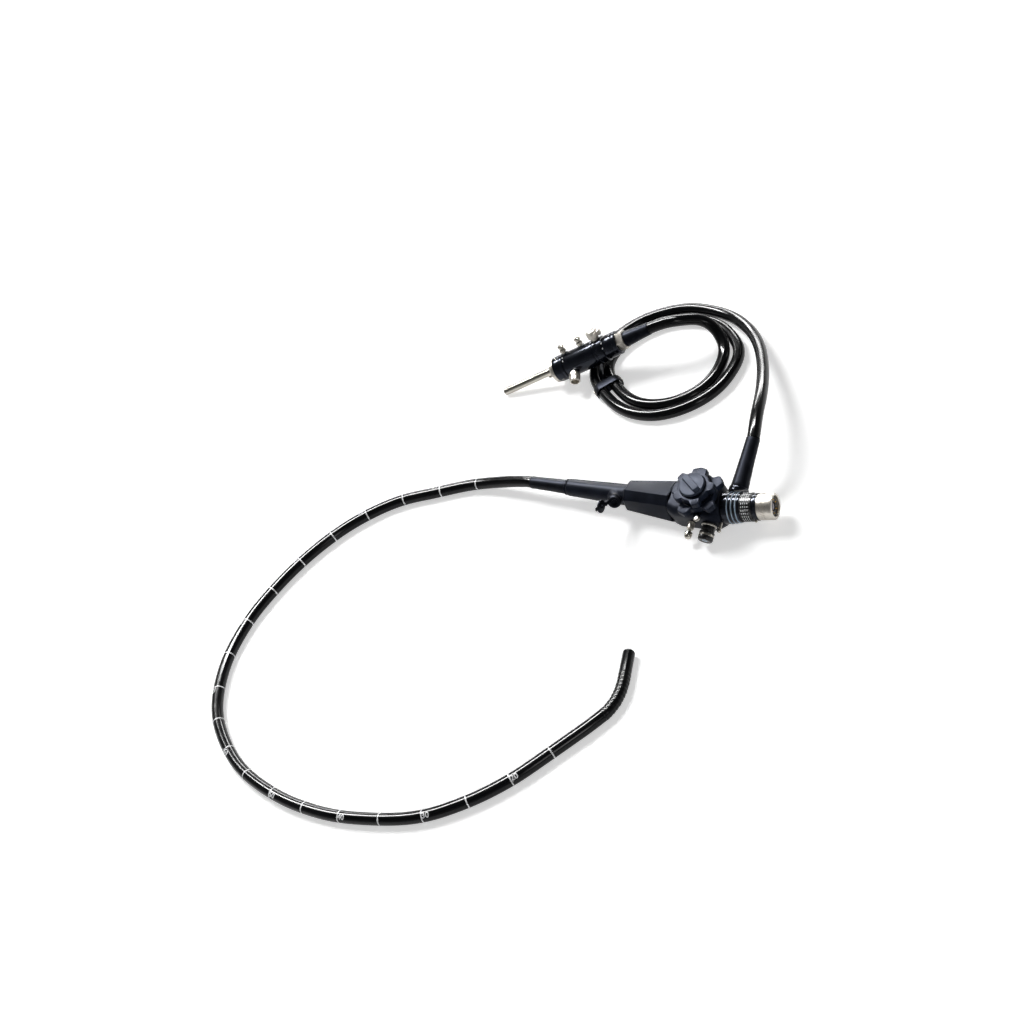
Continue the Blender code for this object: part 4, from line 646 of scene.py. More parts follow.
def frameAlong(route, lengths, distance):
    # a frame on the route: X along it, Z as near upright as it can be
    spot = next(i for i, length in enumerate(lengths) if length >= distance)
    a, b = route[max(spot - 1, 0)], route[min(spot, len(route) - 1)]
    share = (distance - lengths[spot - 1]) / (lengths[spot] - lengths[spot - 1]) if spot else 0
    return frameFrom(a.lerp(b, share), b - a, (0, 0, 1))


marks = {
    "ringWidth": 1.5,  # millimetres
    "proud": 0.04,
    "digitHeight": 6.2,
    "inkSpread": 0.22,
    "besideRing": 4.6,
    "firstNumber": 20,
    "lastNumber": 110,
    "numberTurn": -34.0,  # degrees round the tube from its top, towards the outside of the loop
    "tipToTubeEnd": 84.5,  # millimetres of bending section and tip
    "strips": 12,  # that a digit is cut into
    "clearOfBoot": 0.010,  # metres at the tube's ends without a ring
    "clearOfSleeve": 0.012,
}


def addMarks(route):
    # white rings each 5 cm from the tip, with a plain number at each 10 cm
    lengths = routeLengths(route)
    total = lengths[-1]
    radius = insertion["diameter"] / 2 / mm + marks["proud"]
    half = marks["ringWidth"] / 2
    rings = []
    numbers = []
    band = turnedPiece(
        "depthRings", [(-half, radius - 0.2), (-half, radius), (half, radius), (half, radius - 0.2)], 48, True
    )
    band.data.transform(zToX)
    for centimetre in range(marks["firstNumber"] - 5, marks["lastNumber"] + 6, 5):
        distance = total - (centimetre * 10 - marks["tipToTubeEnd"]) * mm
        if not marks["clearOfBoot"] < distance < total - marks["clearOfSleeve"]:
            continue
        spot = frameAlong(route, lengths, distance)
        rings.append(copyPiece(band, spot))
        if centimetre % 10 == 0 and centimetre >= marks["firstNumber"]:
            numbers.append(addNumber(str(centimetre), spot, radius))
    bpy.data.objects.remove(band, do_unlink=True)
    depthRings = finishPiece(joinPieces("depthRings", rings), asDrawn, "white marking ink and painted glints")
    depthNumbers = finishPiece(joinPieces("depthNumbers", numbers), asDrawn, "white marking ink and painted glints")
    return [depthRings, depthNumbers]


def addNumber(words, spot, radius):
    # flat digits are cut into strips and wrapped round the tube beside their ring
    bpy.ops.object.select_all(action="DESELECT")
    bpy.ops.object.text_add()
    label = bpy.context.object
    label.data.body = words
    label.data.size = marks["digitHeight"] * 1.4 * mm  # a digit is 0.7 of its text's size
    label.data.align_x = "CENTER"
    label.data.align_y = "CENTER"
    label.data.offset = marks["inkSpread"] * mm
    label.data.resolution_u = 3
    bpy.ops.object.convert(target="MESH")
    label = bpy.context.object
    bpy.ops.object.mode_set(mode="EDIT")
    reach = marks["digitHeight"] * 0.7 * mm
    for step in range(marks["strips"] + 1):
        bpy.ops.mesh.select_all(action="SELECT")
        height = reach * (2 * step / marks["strips"] - 1)
        bpy.ops.mesh.bisect(plane_co=(0, height, 0), plane_no=(0, 1, 0))
    bpy.ops.object.mode_set(mode="OBJECT")
    along = marks["besideRing"] * mm
    for corner in label.data.vertices:
        x, y, _ = corner.co
        angle = math.radians(marks["numberTurn"]) + y / (radius * mm)
        corner.co = (along + x, radius * mm * math.sin(angle), radius * mm * math.cos(angle))
    label.data.transform(spot)
    return label


# Handle, from the insertion tube's boot to the grip

alongHandle = handlePlace @ zToX
front = {
    "bootStart": -234.5,  # millimetres along the handle from the wheels' axis
    "bootEnd": -185.5,
    "bootRadii": (7.3, 8.4),
    "ringEnd": -182.6,
    "ringRadius": 9.4,
    "housingEnd": -100.3,
    "housingRadii": (10.0, 12.4),
    "gripEnd": -37.3,
    "gripFrontHalf": 16.2,
    "gripRearHalf": 20.3,
    "gripChamfer": 8.5,
    "gripTwist": -16.0,
    "gripNose": 2.6,
}


def bootRings(start, end, low, high, steps=10):
    # a rubber boot that widens from its lip at the start to its held end
    lip = 0.8 if end > start else -0.8
    rings = [(start, low - 1.0), (start, low - 0.4), (start + lip * 0.4, low)]
    for step in range(1, steps + 1):
        share = step / steps
        rings.append((start + lip + (end - start - lip) * share, low + (high - low) * share**1.4))
    return rings + [(end, high - 1.2)]


def addFront():
    low, high = front["bootRadii"]
    boot = turnedPiece("tubeBootSkin", bootRings(front["bootStart"], front["bootEnd"], low, high))
    finishPiece(boot, alongHandle, "moulded black nitrile rubber and painted shade", stands=["tube_boot"], edge=0.25)

    wide = front["ringRadius"]
    start, end = front["bootEnd"] + clearance, front["ringEnd"]
    ring = turnedPiece(
        "bootClampRing",
        [(start, wide - 1.4), (start, wide - 0.4), (start + 0.4, wide), (start + 1.0, wide),
         (start + 1.15, wide - 0.25), (start + 1.45, wide - 0.25), (start + 1.6, wide), (end - 0.4, wide),
         (end, wide - 0.4), (end, wide - 1.4)], 64,
    )
    finishPiece(ring, alongHandle, "slate modified PPO grip moulding", stands=["boot_ring"])

    start, end = front["ringEnd"] + clearance, front["housingEnd"]
    low, high = front["housingRadii"]
    slope = (high - low) / (end - start)
    rings = [(start, low - 1.6), (start + 0.5, low - 0.6), (start + 1.6, low)]
    for step in range(1, 13):
        rings.append((start + 1.6 + (end - start - 2.1) * step / 12, low + slope * (end - start) * step / 12))
    rings += [(end, high - 0.5), (end, high - 2.0)]
    housing = turnedPiece("channelHousingMoulding", rings, 64)
    branch = turnedPiece("branch", [(2, 5.6), (14, 5.9), (18.4, 5.8), (18.8, 5.4), (18.8, 2)], 48)
    foot = turnedPiece("branchFoot", [(2, 8.6), (10.4, 8.2), (13.6, 6.6), (15.4, 5.8), (15.4, 2)], 48)
    carve(housing, foot, "UNION", alongHandle.inverted() @ portPlace)
    carve(housing, branch, "UNION", alongHandle.inverted() @ portPlace)
    applyChange(housing, "REMESH", mode="VOXEL", voxel_size=0.55 * mm)
    applyChange(housing, "SMOOTH", iterations=6, factor=0.5)
    finishPiece(housing, alongHandle, "slate modified PPO grip moulding", stands=["channel_housing"], angle=60)
    print("front of the handle")


def chamferedRing(along, half, chamfer):
    # a square with cut corners across Z, turned as the grip sits
    cut = half - chamfer
    corners = [(half, -cut), (half, cut), (cut, half), (-cut, half)]
    corners += [(-y, -z) for y, z in corners]
    turn = Matrix.Rotation(math.radians(front["gripTwist"]), 3, "X")
    return [turn @ (Vector((along, y, z)) * mm) for y, z in corners]


def addGrip():
    start, end = front["housingEnd"] + clearance, front["gripEnd"]
    half, rear = front["gripFrontHalf"], front["gripRearHalf"]
    cut, nose = front["gripChamfer"], front["gripNose"]
    rings = [
        chamferedRing(start, half - 5.0, cut - 2.2),
        chamferedRing(start, half - 2.2, cut - 1.2),
        chamferedRing(start + nose, half, cut),
        chamferedRing(end - 1.6, rear - 0.1, cut),
        chamferedRing(end - 1.6, rear - 0.6, cut - 0.2),
        chamferedRing(end - 0.8, rear - 0.6, cut - 0.2),
        chamferedRing(end - 0.8, rear, cut),
        chamferedRing(end, rear, cut),
        chamferedRing(end, rear - 2.4, cut - 1.0),
    ]
    grip = stackRings("gripMoulding", rings)
    bevelEdges(grip, 0.55, 3, 20)
    finishPiece(grip, handlePlace, "slate modified PPO grip moulding", stands=["grip"])
    print("grip")


# Instrument channel port: the steel collar, the rubber valve and the open lid

port = {
    "station": -119.0,  # millimetres along the handle from the wheels' axis
    "angle": 60.0,  # degrees between its bore and the handle
    "turn": 140.0,  # degrees round the handle
    "collarLow": 19.1,
    "collarHigh": 22.3,
    "collarRadius": 6.6,
    "valveHigh": 31.1,
    "valveRadius": 7.8,
    "hingeOut": 9.8,
    "hingeRadius": 1.9,
    "lidRadius": 7.6,
    "lidThick": 2.4,
    "lidOpen": 118.0,  # degrees
}


def portFrame():
    turn = math.radians(port["turn"])
    angle = math.radians(port["angle"])
    outward = Vector((0, math.cos(turn), math.sin(turn)))
    bore = math.cos(angle) * Vector((1, 0, 0)) + math.sin(angle) * outward
    back = (outward - bore * outward.dot(bore)).normalized()
    turned = Matrix((back, bore.cross(back), bore)).transposed().to_4x4()
    return handlePlace @ move(port["station"], 0, 0) @ turned


portPlace = portFrame()


def acrossBar(name, half, radius, sides=24):
    # a round bar along Y
    bar = turnedPiece(name, [(-half, radius), (half, radius)], sides)
    bar.data.transform(turnAbout("X", 90))
    return bar


def addPort():
    low, high, wide = port["collarLow"], port["collarHigh"], port["collarRadius"]
    collar = turnedPiece(
        "portCollarSteel",
        [(low, 3.4), (low, wide - 0.7), (low + 0.6, wide), (high - 1.3, wide), (high - 1.2, wide - 0.4),
         (high - 0.8, wide - 0.4), (high - 0.6, wide - 0.1), (high, wide - 0.6), (high, 3.4)],
        64,
    )
    finishPiece(collar, portPlace, "polished stainless steel", stands=["port_collar"])

    low, high, wide = high + clearance, port["valveHigh"], port["valveRadius"]
    profile = [(low, 3.2), (low, wide - 1.0), (low + 0.9, wide)]
    for rib in range(3):
        start = low + 1.5 + rib * 1.5
        profile += [
            (start, wide), (start + 0.25, wide - 0.45), (start + 0.65, wide - 0.45), (start + 0.9, wide),
        ]
    profile += [
        (high - 2.6, wide - 0.2), (high - 1.8, wide - 1.0), (high - 0.6, wide - 1.1), (high, wide - 1.8),
    ]
    profile += [(high, 3.6), (high - 0.9, 3.0), (high - 2.4, 2.9), (high - 2.6, 0.5)]
    valve = turnedPiece("portValveRubber", profile, 64)
    level = high + clearance + port["lidThick"] / 2
    out, eye = port["hingeOut"], port["hingeRadius"]
    outline = [(4.8, high - 1.2), (4.8, high - 4.6), (out + eye, high - 3.0)]
    for slant in range(0, 181, 20):
        angle = math.radians(slant)
        outline.append((out + eye * math.cos(angle), level + eye * math.sin(angle)))
    outline += [(out - eye, high - 1.2)]
    lug = stackRings("lug", [[Vector((x, y, z)) * mm for x, z in outline] for y in (-2.4, 2.4)])
    carve(valve, lug, "UNION")
    hinge = move(out, 0, level)
    carve(valve, acrossBar("slot", 1.4, eye + 0.3), "DIFFERENCE", hinge)
    carve(valve, acrossBar("pin", 1.8, 0.8), "UNION", hinge)
    finishPiece(valve, portPlace, "moulded black nitrile rubber and painted shade", stands=["port_valve"], edge=0.15)

    wide, half = port["lidRadius"], port["lidThick"] / 2
    lid = turnedPiece(
        "portLidRubber",
        [(-half - 2.2, 1.0), (-half - 2.2, 2.0), (-half - 1.8, 2.4), (-half, 2.4), (-half, wide - 0.6),
         (-half + 0.6, wide), (half - 0.6, wide), (half, wide - 0.6), (half, wide - 1.8),
         (half - 0.5, wide - 2.3), (half - 0.5, 1.0)], 64,
    )
    lid.data.transform(move(-out, 0, 0))
    carve(lid, boxPiece("strap", (-4.2, -1.1, -half + 0.3), (0, 1.1, half - 0.3)), "UNION")
    carve(lid, acrossBar("eye", 1.1, eye), "UNION")
    carve(lid, acrossBar("eyeBore", 2.4, 1.1), "DIFFERENCE")
    tab = boxPiece("tab", (-out - wide - 4.0, -2.2, -0.7), (-out - wide + 1.2, 2.2, 0.7), 0.4)
    carve(lid, tab, "UNION")
    for rib in range(3):
        edge = -out - wide - 3.4 + rib * 1.1
        carve(lid, boxPiece("tabRib", (edge, -1.9, 0.5), (edge + 0.5, 1.9, 1.0)), "UNION")
    place = portPlace @ hinge @ turnAbout("Y", port["lidOpen"])
    finishPiece(lid, place, "moulded black nitrile rubber and painted shade", "port_lid_body", ["port_lid"], edge=0.12)
    print("channel port")


# Control body

body = {
    "front": -36.7,  # millimetres along the handle from the wheels' axis
    "rear": 32.0,
    "nose": (
        (0, 18.2, 17.2, 8.5), (0, 20.2, 19.2, 9.5), (0.6, 20.7, 19.7, 9.5), (4.4, 22.0, 19.4, 9.5),
    ),  # how far back, half width, half depth and corner
    "halfWidth": 23.5,
    "halfDepth": 19.0,
    "corner": 9.5,
    "neckRadius": 19.6,
    "bossRadius": 12.5,
    "bossTop": 20.2,
    "bossFoot": 17.0,
    "bossBore": 5.9,
}


def roundedRing(along, halfY, halfZ, corner, steps=9):
    # a rectangle with round corners across X
    ring = []
    for turn, (sideY, sideZ) in enumerate([(1, 1), (-1, 1), (-1, -1), (1, -1)]):
        for step in range(steps + 1):
            angle = math.radians(90 * turn + 90 * step / steps)
            y = sideY * (halfY - corner) + corner * math.cos(angle)
            z = sideZ * (halfZ - corner) + corner * math.sin(angle)
            ring.append(Vector((along, y, z)) * mm)
    return ring


def addBody():
    wide, deep, corner = body["halfWidth"], body["halfDepth"], body["corner"]
    start, rear, neck = body["front"], body["rear"], body["neckRadius"]
    back = roundedRing(-clearance, neck, neck, neck * 0.98)
    mouth = roundedRing(-clearance, neck - 1.6, neck - 1.6, (neck - 1.6) * 0.98)
    rings = [roundedRing(start + behind, *size) for behind, *size in body["nose"]]
    rings += [
        roundedRing(start + 9.0, wide, deep, corner),
        roundedRing(0, wide, deep, corner),
        roundedRing(rear - 21.0, wide, deep, corner),
        roundedRing(rear - 17.0, wide - 0.2, deep, corner * 1.06),
        roundedRing(rear - 14.0, wide - 0.6, deep - 0.2, corner * 1.15),
        [eyepieceTurn @ point for point in back],
        [eyepieceTurn @ point for point in mouth],
    ]
    shell = stackRings("controlBodyMoulding", rings)
    wide, bore, foot, top = body["bossRadius"], body["bossBore"], body["bossFoot"], body["bossTop"]
    boss = turnedPiece(
        "boss", [(foot, wide), (top - 0.6, wide), (top, wide - 0.6), (top, bore), (foot, bore)], 64
    )
    carve(shell, boss, "UNION")
    finishPiece(
        shell, handlePlace, "slate modified PPO grip moulding", stands=["control_body"], edge=0.25, angle=38,
    )
    print("control body")


# Control wheels, brake lever and brake knob, stacked on the wheels' axis

wheels = {
    "lobes": 5,
    "points": 240,
    "lobeFlat": 15.0,  # degrees of the wheel that a lobe's end takes
    "lobeFlank": 13.0,
    "ribPitch": 5.0,
    "ribDepth": 0.35,  # millimetres
    "udBore": 5.9,
    "rlBore": 4.3,
    "udTip": 30.5,
    "udValley": 23.2,
    "udHub": 10.0,
    "udPhase": 36.8,
    "rlTip": 24.5,
    "rlValley": 18.8,
    "rlHub": 8.0,
    "rlPhase": 7.2,
    "height": 8.0,
    "knobRadius": 14.6,
    "knobHeight": 4.2,
    "barHeight": 4.2,
    "barWidth": 7.8,
    "barAngle": -35.0,
    "leverAngle": -75.0,
    "leverReach": 33.0,
}


def lobedRing(tip, valley, height, inset=0.0):
    # a hand wheel's outline: flat ribbed lobe ends, steep flanks and round valleys
    ring = []
    period = 360 / wheels["lobes"]
    for i in range(wheels["points"]):
        angle = 360 * i / wheels["points"]
        off = (angle + period / 2) % period - period / 2
        share = min(max((abs(off) - wheels["lobeFlat"] / 2) / wheels["lobeFlank"], 0.0), 1.0)
        radius = tip + (valley - tip) * (3 - 2 * share) * share * share
        if abs(off) < wheels["lobeFlat"] / 2:
            radius -= wheels["ribDepth"] * (1 - math.cos(math.tau * off / wheels["ribPitch"])) / 2
        turn = math.radians(angle)
        radius -= inset
        ring.append(Vector((radius * math.cos(turn), radius * math.sin(turn), height)) * mm)
    return ring


def addWheel(name, tip, valley, hub, bore, level, phase, owner, node):
    high = wheels["height"]
    dish = valley - 3.2

    def circle(radius, height):
        return turnedRings([(height, radius)], wheels["points"])[0]

    rings = [
        circle(bore, 0.4), circle(bore + 1.6, 0.4), circle(valley - 3.0, 1.4), lobedRing(tip, valley, 0.0, 1.6),
        lobedRing(tip, valley, 0.35, 0.5), lobedRing(tip, valley, 1.1), lobedRing(tip, valley, high - 1.1),
        lobedRing(tip, valley, high - 0.35, 0.4), lobedRing(tip, valley, high, 1.3), circle(dish, high - 0.1),
        circle(dish - 0.5, high - 0.6), circle(dish - 1.3, high - 2.0), circle(hub + 0.4, high - 2.0),
        circle(hub, high - 1.6), circle(hub, high - 0.3), circle(hub - 0.3, high), circle(bore, high),
    ]
    wheel = stackRings(name, rings, True)
    place = handlePlace @ move(0, 0, level) @ turnAbout("Z", phase)
    finishPiece(wheel, place, "slate PBT wheel moulding", owner, [node], angle=24)


def addControls():
    addWheel(
        "upDownWheelMoulding", wheels["udTip"], wheels["udValley"], wheels["udHub"], wheels["udBore"],
        stack["udWheelLevel"], wheels["udPhase"], "ud_wheel_body", "ud_wheel",
    )
    addWheel(
        "leftRightWheelMoulding", wheels["rlTip"], wheels["rlValley"], wheels["rlHub"], wheels["rlBore"],
        stack["rlWheelLevel"], wheels["rlPhase"], "rl_wheel_body", "rl_wheel",
    )
    wide, high = wheels["knobRadius"], wheels["knobHeight"]
    knob = turnedPiece(
        "brakeKnobMoulding",
        [(0, 3.2), (0, wide - 1.4), (0.4, wide - 0.4), (1.2, wide), (high - 1.0, wide),
         (high - 0.3, wide - 0.3), (high, wide - 1.1), (high - 0.4, wide - 3.2), (high - 0.5, 2.0)], 96,
    )
    top = high + wheels["barHeight"]
    bar = turnedPiece("bar", [(high - 1.4, wide - 1.3), (top - 1.0, wide - 2.0), (top, wide - 2.8)], 96)
    bpy.ops.object.mode_set(mode="EDIT")
    half = wheels["barWidth"] / 2
    for side in (1, -1):
        bpy.ops.mesh.select_all(action="SELECT")
        bpy.ops.mesh.bisect(
            plane_co=(0, side * half * mm, high * mm), plane_no=(0, side, 0.12), clear_outer=True, use_fill=True
        )
    bpy.ops.object.mode_set(mode="OBJECT")
    bevelEdges(bar, 0.7, 3, 50)
    carve(knob, bar, "UNION")
    place = handlePlace @ move(0, 0, stack["knobLevel"]) @ turnAbout("Z", wheels["barAngle"])
    finishPiece(knob, place, "grey PBT knob moulding", "brake_knob_body", ["brake_knob"], edge=0.15, angle=40)

    lever = turnedPiece(
        "brakeLeverMoulding", [(0, 6.2), (0, 14.5), (0.5, 15.0), (1.9, 15.0), (2.4, 14.5), (2.4, 6.2)], 64
    )
    reach = wheels["leverReach"]
    arm = boxPiece("arm", (12.5, -4.2, 0.2), (reach - 4.2, 4.2, 2.2), 0.7)
    carve(lever, arm, "UNION")
    place = handlePlace @ move(0, 0, stack["leverLevel"]) @ turnAbout("Z", wheels["leverAngle"])
    finishPiece(lever, place, "dark modified PPO body moulding", "brake_lever_body", ["brake_lever"], edge=0.15)
    pad = turnedPiece(
        "leverPadSteel",
        [(0.3, 3.4), (0.5, 4.0), (1.5, 4.0), (2.0, 3.6), (2.4, 2.7), (2.6, 1.5), (2.65, 0.5)], 40,
    )
    pad.data.transform(move(reach - 4.1, 0, 0))
    finishPiece(pad, place, "satin chromed brass", "brake_lever_body")
    print("wheels, lever and knob")


# Valves and the leak test stud on the front of the body

valves = {
    "tilt": 9.0,  # degrees that the valves point down
    "suctionStation": 12.5,  # millimetres along the handle from the wheels' axis
    "suctionRadius": 7.6,
    "airStation": -9.5,
    "airRadius": 4.0,
    "studStation": 26.0,
}


def valvePlace(station):
    tilt = math.radians(valves["tilt"])
    out = (0, -math.cos(tilt), -math.sin(tilt))
    up = (0, -math.sin(tilt), math.cos(tilt))
    return handlePlace @ move(station, -body["halfWidth"], 0) @ frameFrom((0, 0, 0), out, up) @ zToX


def addValves():
    place = valvePlace(valves["suctionStation"])
    wide = valves["suctionRadius"]
    sleeve = turnedPiece(
        "suctionSleeveTurned",
        [(-10.8, 4.4), (-10.8, wide), (2.2, wide), (2.4, wide - 0.4), (2.9, wide - 0.4), (3.1, wide),
         (7.4, wide), (7.6, wide - 0.3), (9.6, wide - 0.3), (10.0, wide - 0.8), (10.0, 4.4)], 64, True,
    )
    finishPiece(sleeve, place, "black hard anodised aluminium", stands=["suction_sleeve"], edge=0.08)
    collar = turnedPiece(
        "suctionSeatRing",
        [(0.2, wide + 0.02), (0.2, wide + 0.8), (0.5, wide + 1.1), (1.5, wide + 1.1), (1.9, wide + 0.7),
         (1.9, wide + 0.02)], 64, True,
    )
    finishPiece(collar, place, "satin chromed brass")
    cap = turnedPiece(
        "suctionButtonMoulding",
        [(4.4, 2.0), (4.4, 3.9), (13.3, 3.9), (13.3, 7.9), (8.5, 7.9), (8.5, 8.3), (8.8, 8.6),
         (10.9, 8.6), (11.1, 8.35), (13.6, 8.35), (13.8, 8.6), (17.2, 8.6), (18.4, 8.0), (19.0, 6.9),
         (18.4, 4.6), (18.2, 2.0)], 64,
    )
    finishPiece(cap, place, "black hard anodised aluminium", "suction_cap_body", ["suction_cap"], edge=0.1)
    band = turnedPiece(
        "suctionButtonBand",
        [(11.2, 8.38), (11.2, 8.5), (11.35, 8.6), (13.35, 8.6), (13.5, 8.5), (13.5, 8.38)], 64, True,
    )
    finishPiece(band, place, "polished stainless steel", "suction_cap_body")
    mark = turnedPiece(
        "suctionButtonMark", [(18.25, 1.6), (18.3, 2.4), (18.36, 3.0), (18.3, 3.0), (18.2, 1.6)], 48, True
    )
    finishPiece(mark, place, "ice blue silicone ring", "suction_cap_body")

    place = valvePlace(valves["airStation"])
    wide = valves["airRadius"]
    sleeve = turnedPiece(
        "airSleeveTurned",
        [(-10.8, 2.6), (-10.8, wide), (1.8, wide), (2.0, wide - 0.3), (2.4, wide - 0.3), (2.6, wide),
         (8.0, wide), (8.5, wide - 0.5), (8.5, 2.6)], 48, True,
    )
    finishPiece(sleeve, place, "satin chromed brass", stands=["air_sleeve"], edge=0.08)
    profile = [(3.4, 1.0), (3.4, 2.1), (11.2, 2.1), (11.2, 4.1)]
    profile += [(11.5, 4.4), (14.6, 4.4), (14.8, 3.9), (15.4, 3.9)]
    for step in range(8):
        angle = math.radians(82 * step / 7)
        profile.append((15.6 + 4.2 * math.sin(angle), 4.4 * math.cos(angle)))
    cap = turnedPiece("airButtonTurned", profile, 64)
    finishPiece(cap, place, "polished stainless steel", "air_cap_body", ["air_cap"], angle=45)

    place = valvePlace(valves["studStation"])
    profile = [(-5.0, 1.0), (-5.0, 1.7), (0.8, 1.7), (1.0, 2.3), (1.5, 2.3), (1.7, 1.7), (3.2, 1.7)]
    for step in range(9):
        angle = math.radians(-45 + 130 * step / 8)
        profile.append((3.2 + 2.4 * (math.sin(angle) + math.sin(math.radians(45))), 2.4 * math.cos(angle)))
    stud = turnedPiece("leakTestStudSteel", profile, 40)
    finishPiece(stud, place, "polished stainless steel", stands=["leak_test_stud"], angle=45)
    print("valves")


# Eyepiece: ringed neck, dioptre ring, index ring, steel mount ring and its contact plate

eyepiece = {
    "neckLength": 20.5,  # millimetres
    "neckFront": 18.2,
    "neckRear": 16.4,
    "rings": 3,
    "ringPitch": 4.7,
    "dioptreLength": 13.5,
    "dioptreRadius": 16.0,
    "ribs": 26,
    "ribRows": 5,
    "indexLength": 5.2,
    "indexRadius": 15.2,
    "pinTurn": 78.0,  # degrees
    "mountLength": 18.0,
    "mountRadius": 14.8,
    "bore": 11.5,
    "ringBore": 13.8,
    "recess": 6.0,
    "contacts": 6,
    "lensRadius": 4.6,
}


def knurlRing(radius, depth, height, ribs):
    # flat-topped ribs round a ring, four points to each
    ring = []
    for i in range(ribs * 4):
        turn = math.tau * (i + 0.5 * (i % 2)) / (ribs * 4)
        reach = radius - (depth if i % 4 > 1 else 0)
        ring.append(Vector((reach * math.cos(turn), reach * math.sin(turn), height)) * mm)
    return ring


def addEyepiece():
    long, low, high = eyepiece["neckLength"], eyepiece["neckFront"], eyepiece["neckRear"]
    count = eyepiece["rings"]
    profile = [(0.3, low - 3), (0.3, low - 0.5), (0.8, low)]
    stations = []
    for i in range(count):
        along = long - 3.2 - eyepiece["ringPitch"] * (count - 1 - i)
        radius = low + (high - low) * along / long
        stations.append((along, radius))
        profile += [(along - 1.3, radius + 0.1), (along - 1.0, radius - 0.35)]
        profile += [(along + 1.0, radius - 0.35), (along + 1.3, radius - 0.1)]
    profile += [(long - 0.3, high), (long, high - 0.4), (long, 13.2)]
    neck = turnedPiece("eyepieceNeckMoulding", profile, 72)
    finishPiece(neck, eyepiecePlace, "dark modified PPO body moulding", stands=["eyepiece_neck"], edge=0.1)
    seals = []
    for along, radius in stations:
        seals.append(turnedPiece(
            "neckSeal",
            [(along - 0.6, radius - 0.5), (along - 0.6, radius + 0.35), (along - 0.3, radius + 0.6),
             (along + 0.3, radius + 0.6), (along + 0.6, radius + 0.35), (along + 0.6, radius - 0.5)], 72, True,
        ))
    finishPiece(joinPieces("neckSeals", seals), eyepiecePlace, "ice blue silicone ring")

    inner = eyepiece["ringBore"]
    start = long + clearance
    end = start + eyepiece["dioptreLength"]
    wide, ribs, rows = eyepiece["dioptreRadius"], eyepiece["ribs"], eyepiece["ribRows"]
    rings = [
        knurlRing(inner, 0, start, ribs), knurlRing(wide - 1.1, 0, start, ribs),
        knurlRing(wide - 0.6, 0, start + 0.5, ribs),
    ]
    pitch = (end - start - 1.6) / rows
    for row in range(rows):
        base = start + 0.8 + row * pitch
        rings += [
            knurlRing(wide - 0.6, 0, base + 0.10, ribs), knurlRing(wide, 0.6, base + 0.5, ribs),
            knurlRing(wide, 0.6, base + pitch - 0.5, ribs), knurlRing(wide - 0.6, 0, base + pitch - 0.10, ribs),
        ]
    rings += [
        knurlRing(wide - 0.6, 0, end - 0.5, ribs), knurlRing(wide - 1.1, 0, end, ribs),
        knurlRing(inner, 0, end, ribs),
    ]
    dioptre = stackRings("dioptreRingMoulding", rings, True)
    finishPiece(dioptre, eyepiecePlace, "black hard anodised aluminium", "diopter_ring_body", ["diopter_ring"])
    # white pads between the rows of ribs: painted highlights, standing in for light caught on the knurl
    paintedGlints = []
    for row in range(1, rows):
        base = start + 0.8 + row * pitch
        for rib in range(ribs):
            paintedGlint = boxPiece("paintedGlint", (wide - 0.6, -0.85, base - 0.42), (wide + 0.02, 0.85, base + 0.42))
            paintedGlint.data.transform(turnAbout("Z", 360 * (rib + 0.19) / ribs))
            paintedGlints.append(paintedGlint)
    finishPiece(joinPieces("dioptrePaintedHighlights", paintedGlints), eyepiecePlace, "white marking ink and painted glints", "diopter_ring_body")
    tick = boxPiece("dioptreIndexMark", (wide - 1.1, -0.5, end - 3.4), (wide + 0.05, 0.5, end - 0.9), 0.15)
    tick.data.transform(turnAbout("Z", 62))
    finishPiece(tick, eyepiecePlace, "white marking ink and painted glints", "diopter_ring_body")

    start = end + clearance
    end = start + eyepiece["indexLength"]
    wide = eyepiece["indexRadius"]
    index = turnedPiece(
        "indexRingMoulding",
        [(start, inner), (start, wide - 0.5), (start + 0.5, wide), (end - 1.6, wide),
         (end - 1.4, wide - 0.3), (end - 0.9, wide - 0.3), (end - 0.7, wide), (end - 0.4, wide),
         (end, wide - 0.5), (end, inner)], 72, True,
    )
    finishPiece(index, eyepiecePlace, "dark modified PPO body moulding", stands=["index_ring"], edge=0.1)
    pin = turnedPiece("indexPinSteel", [(-1.0, 1.0), (-1.0, 1.6), (2.0, 1.6), (2.5, 1.3), (2.8, 0.6)], 32)
    middle = (start + end) / 2
    pin.data.transform(turnAbout("Z", -eyepiece["pinTurn"]) @ move(wide, 0, middle) @ turnAbout("Y", 90))
    finishPiece(pin, eyepiecePlace, "polished stainless steel", angle=50)

    start = end + clearance
    end = start + eyepiece["mountLength"]
    wide, bore = eyepiece["mountRadius"], eyepiece["bore"]
    floor = end - eyepiece["recess"]
    mount = turnedPiece(
        "mountRingSteel",
        [(start, inner), (start, wide - 0.5), (start + 0.3, wide - 0.2), (start + 5.4, wide),
         (start + 5.8, wide - 0.5), (start + 6.4, wide - 0.5), (start + 6.8, wide), (start + 7.6, wide),
         (start + 8.0, wide - 0.6), (start + 8.8, wide - 0.6), (start + 9.2, wide), (end - 1.4, wide),
         (end - 0.5, wide - 0.4), (end, wide - 1.1), (end, bore + 0.7), (end - 0.5, bore + 0.1),
         (end - 0.8, bore), (floor - 0.1, bore), (floor - 0.1, 10.0)], 80,
    )
    finishPiece(mount, eyepiecePlace, "satin chromed brass", stands=["mount_ring"], angle=25)

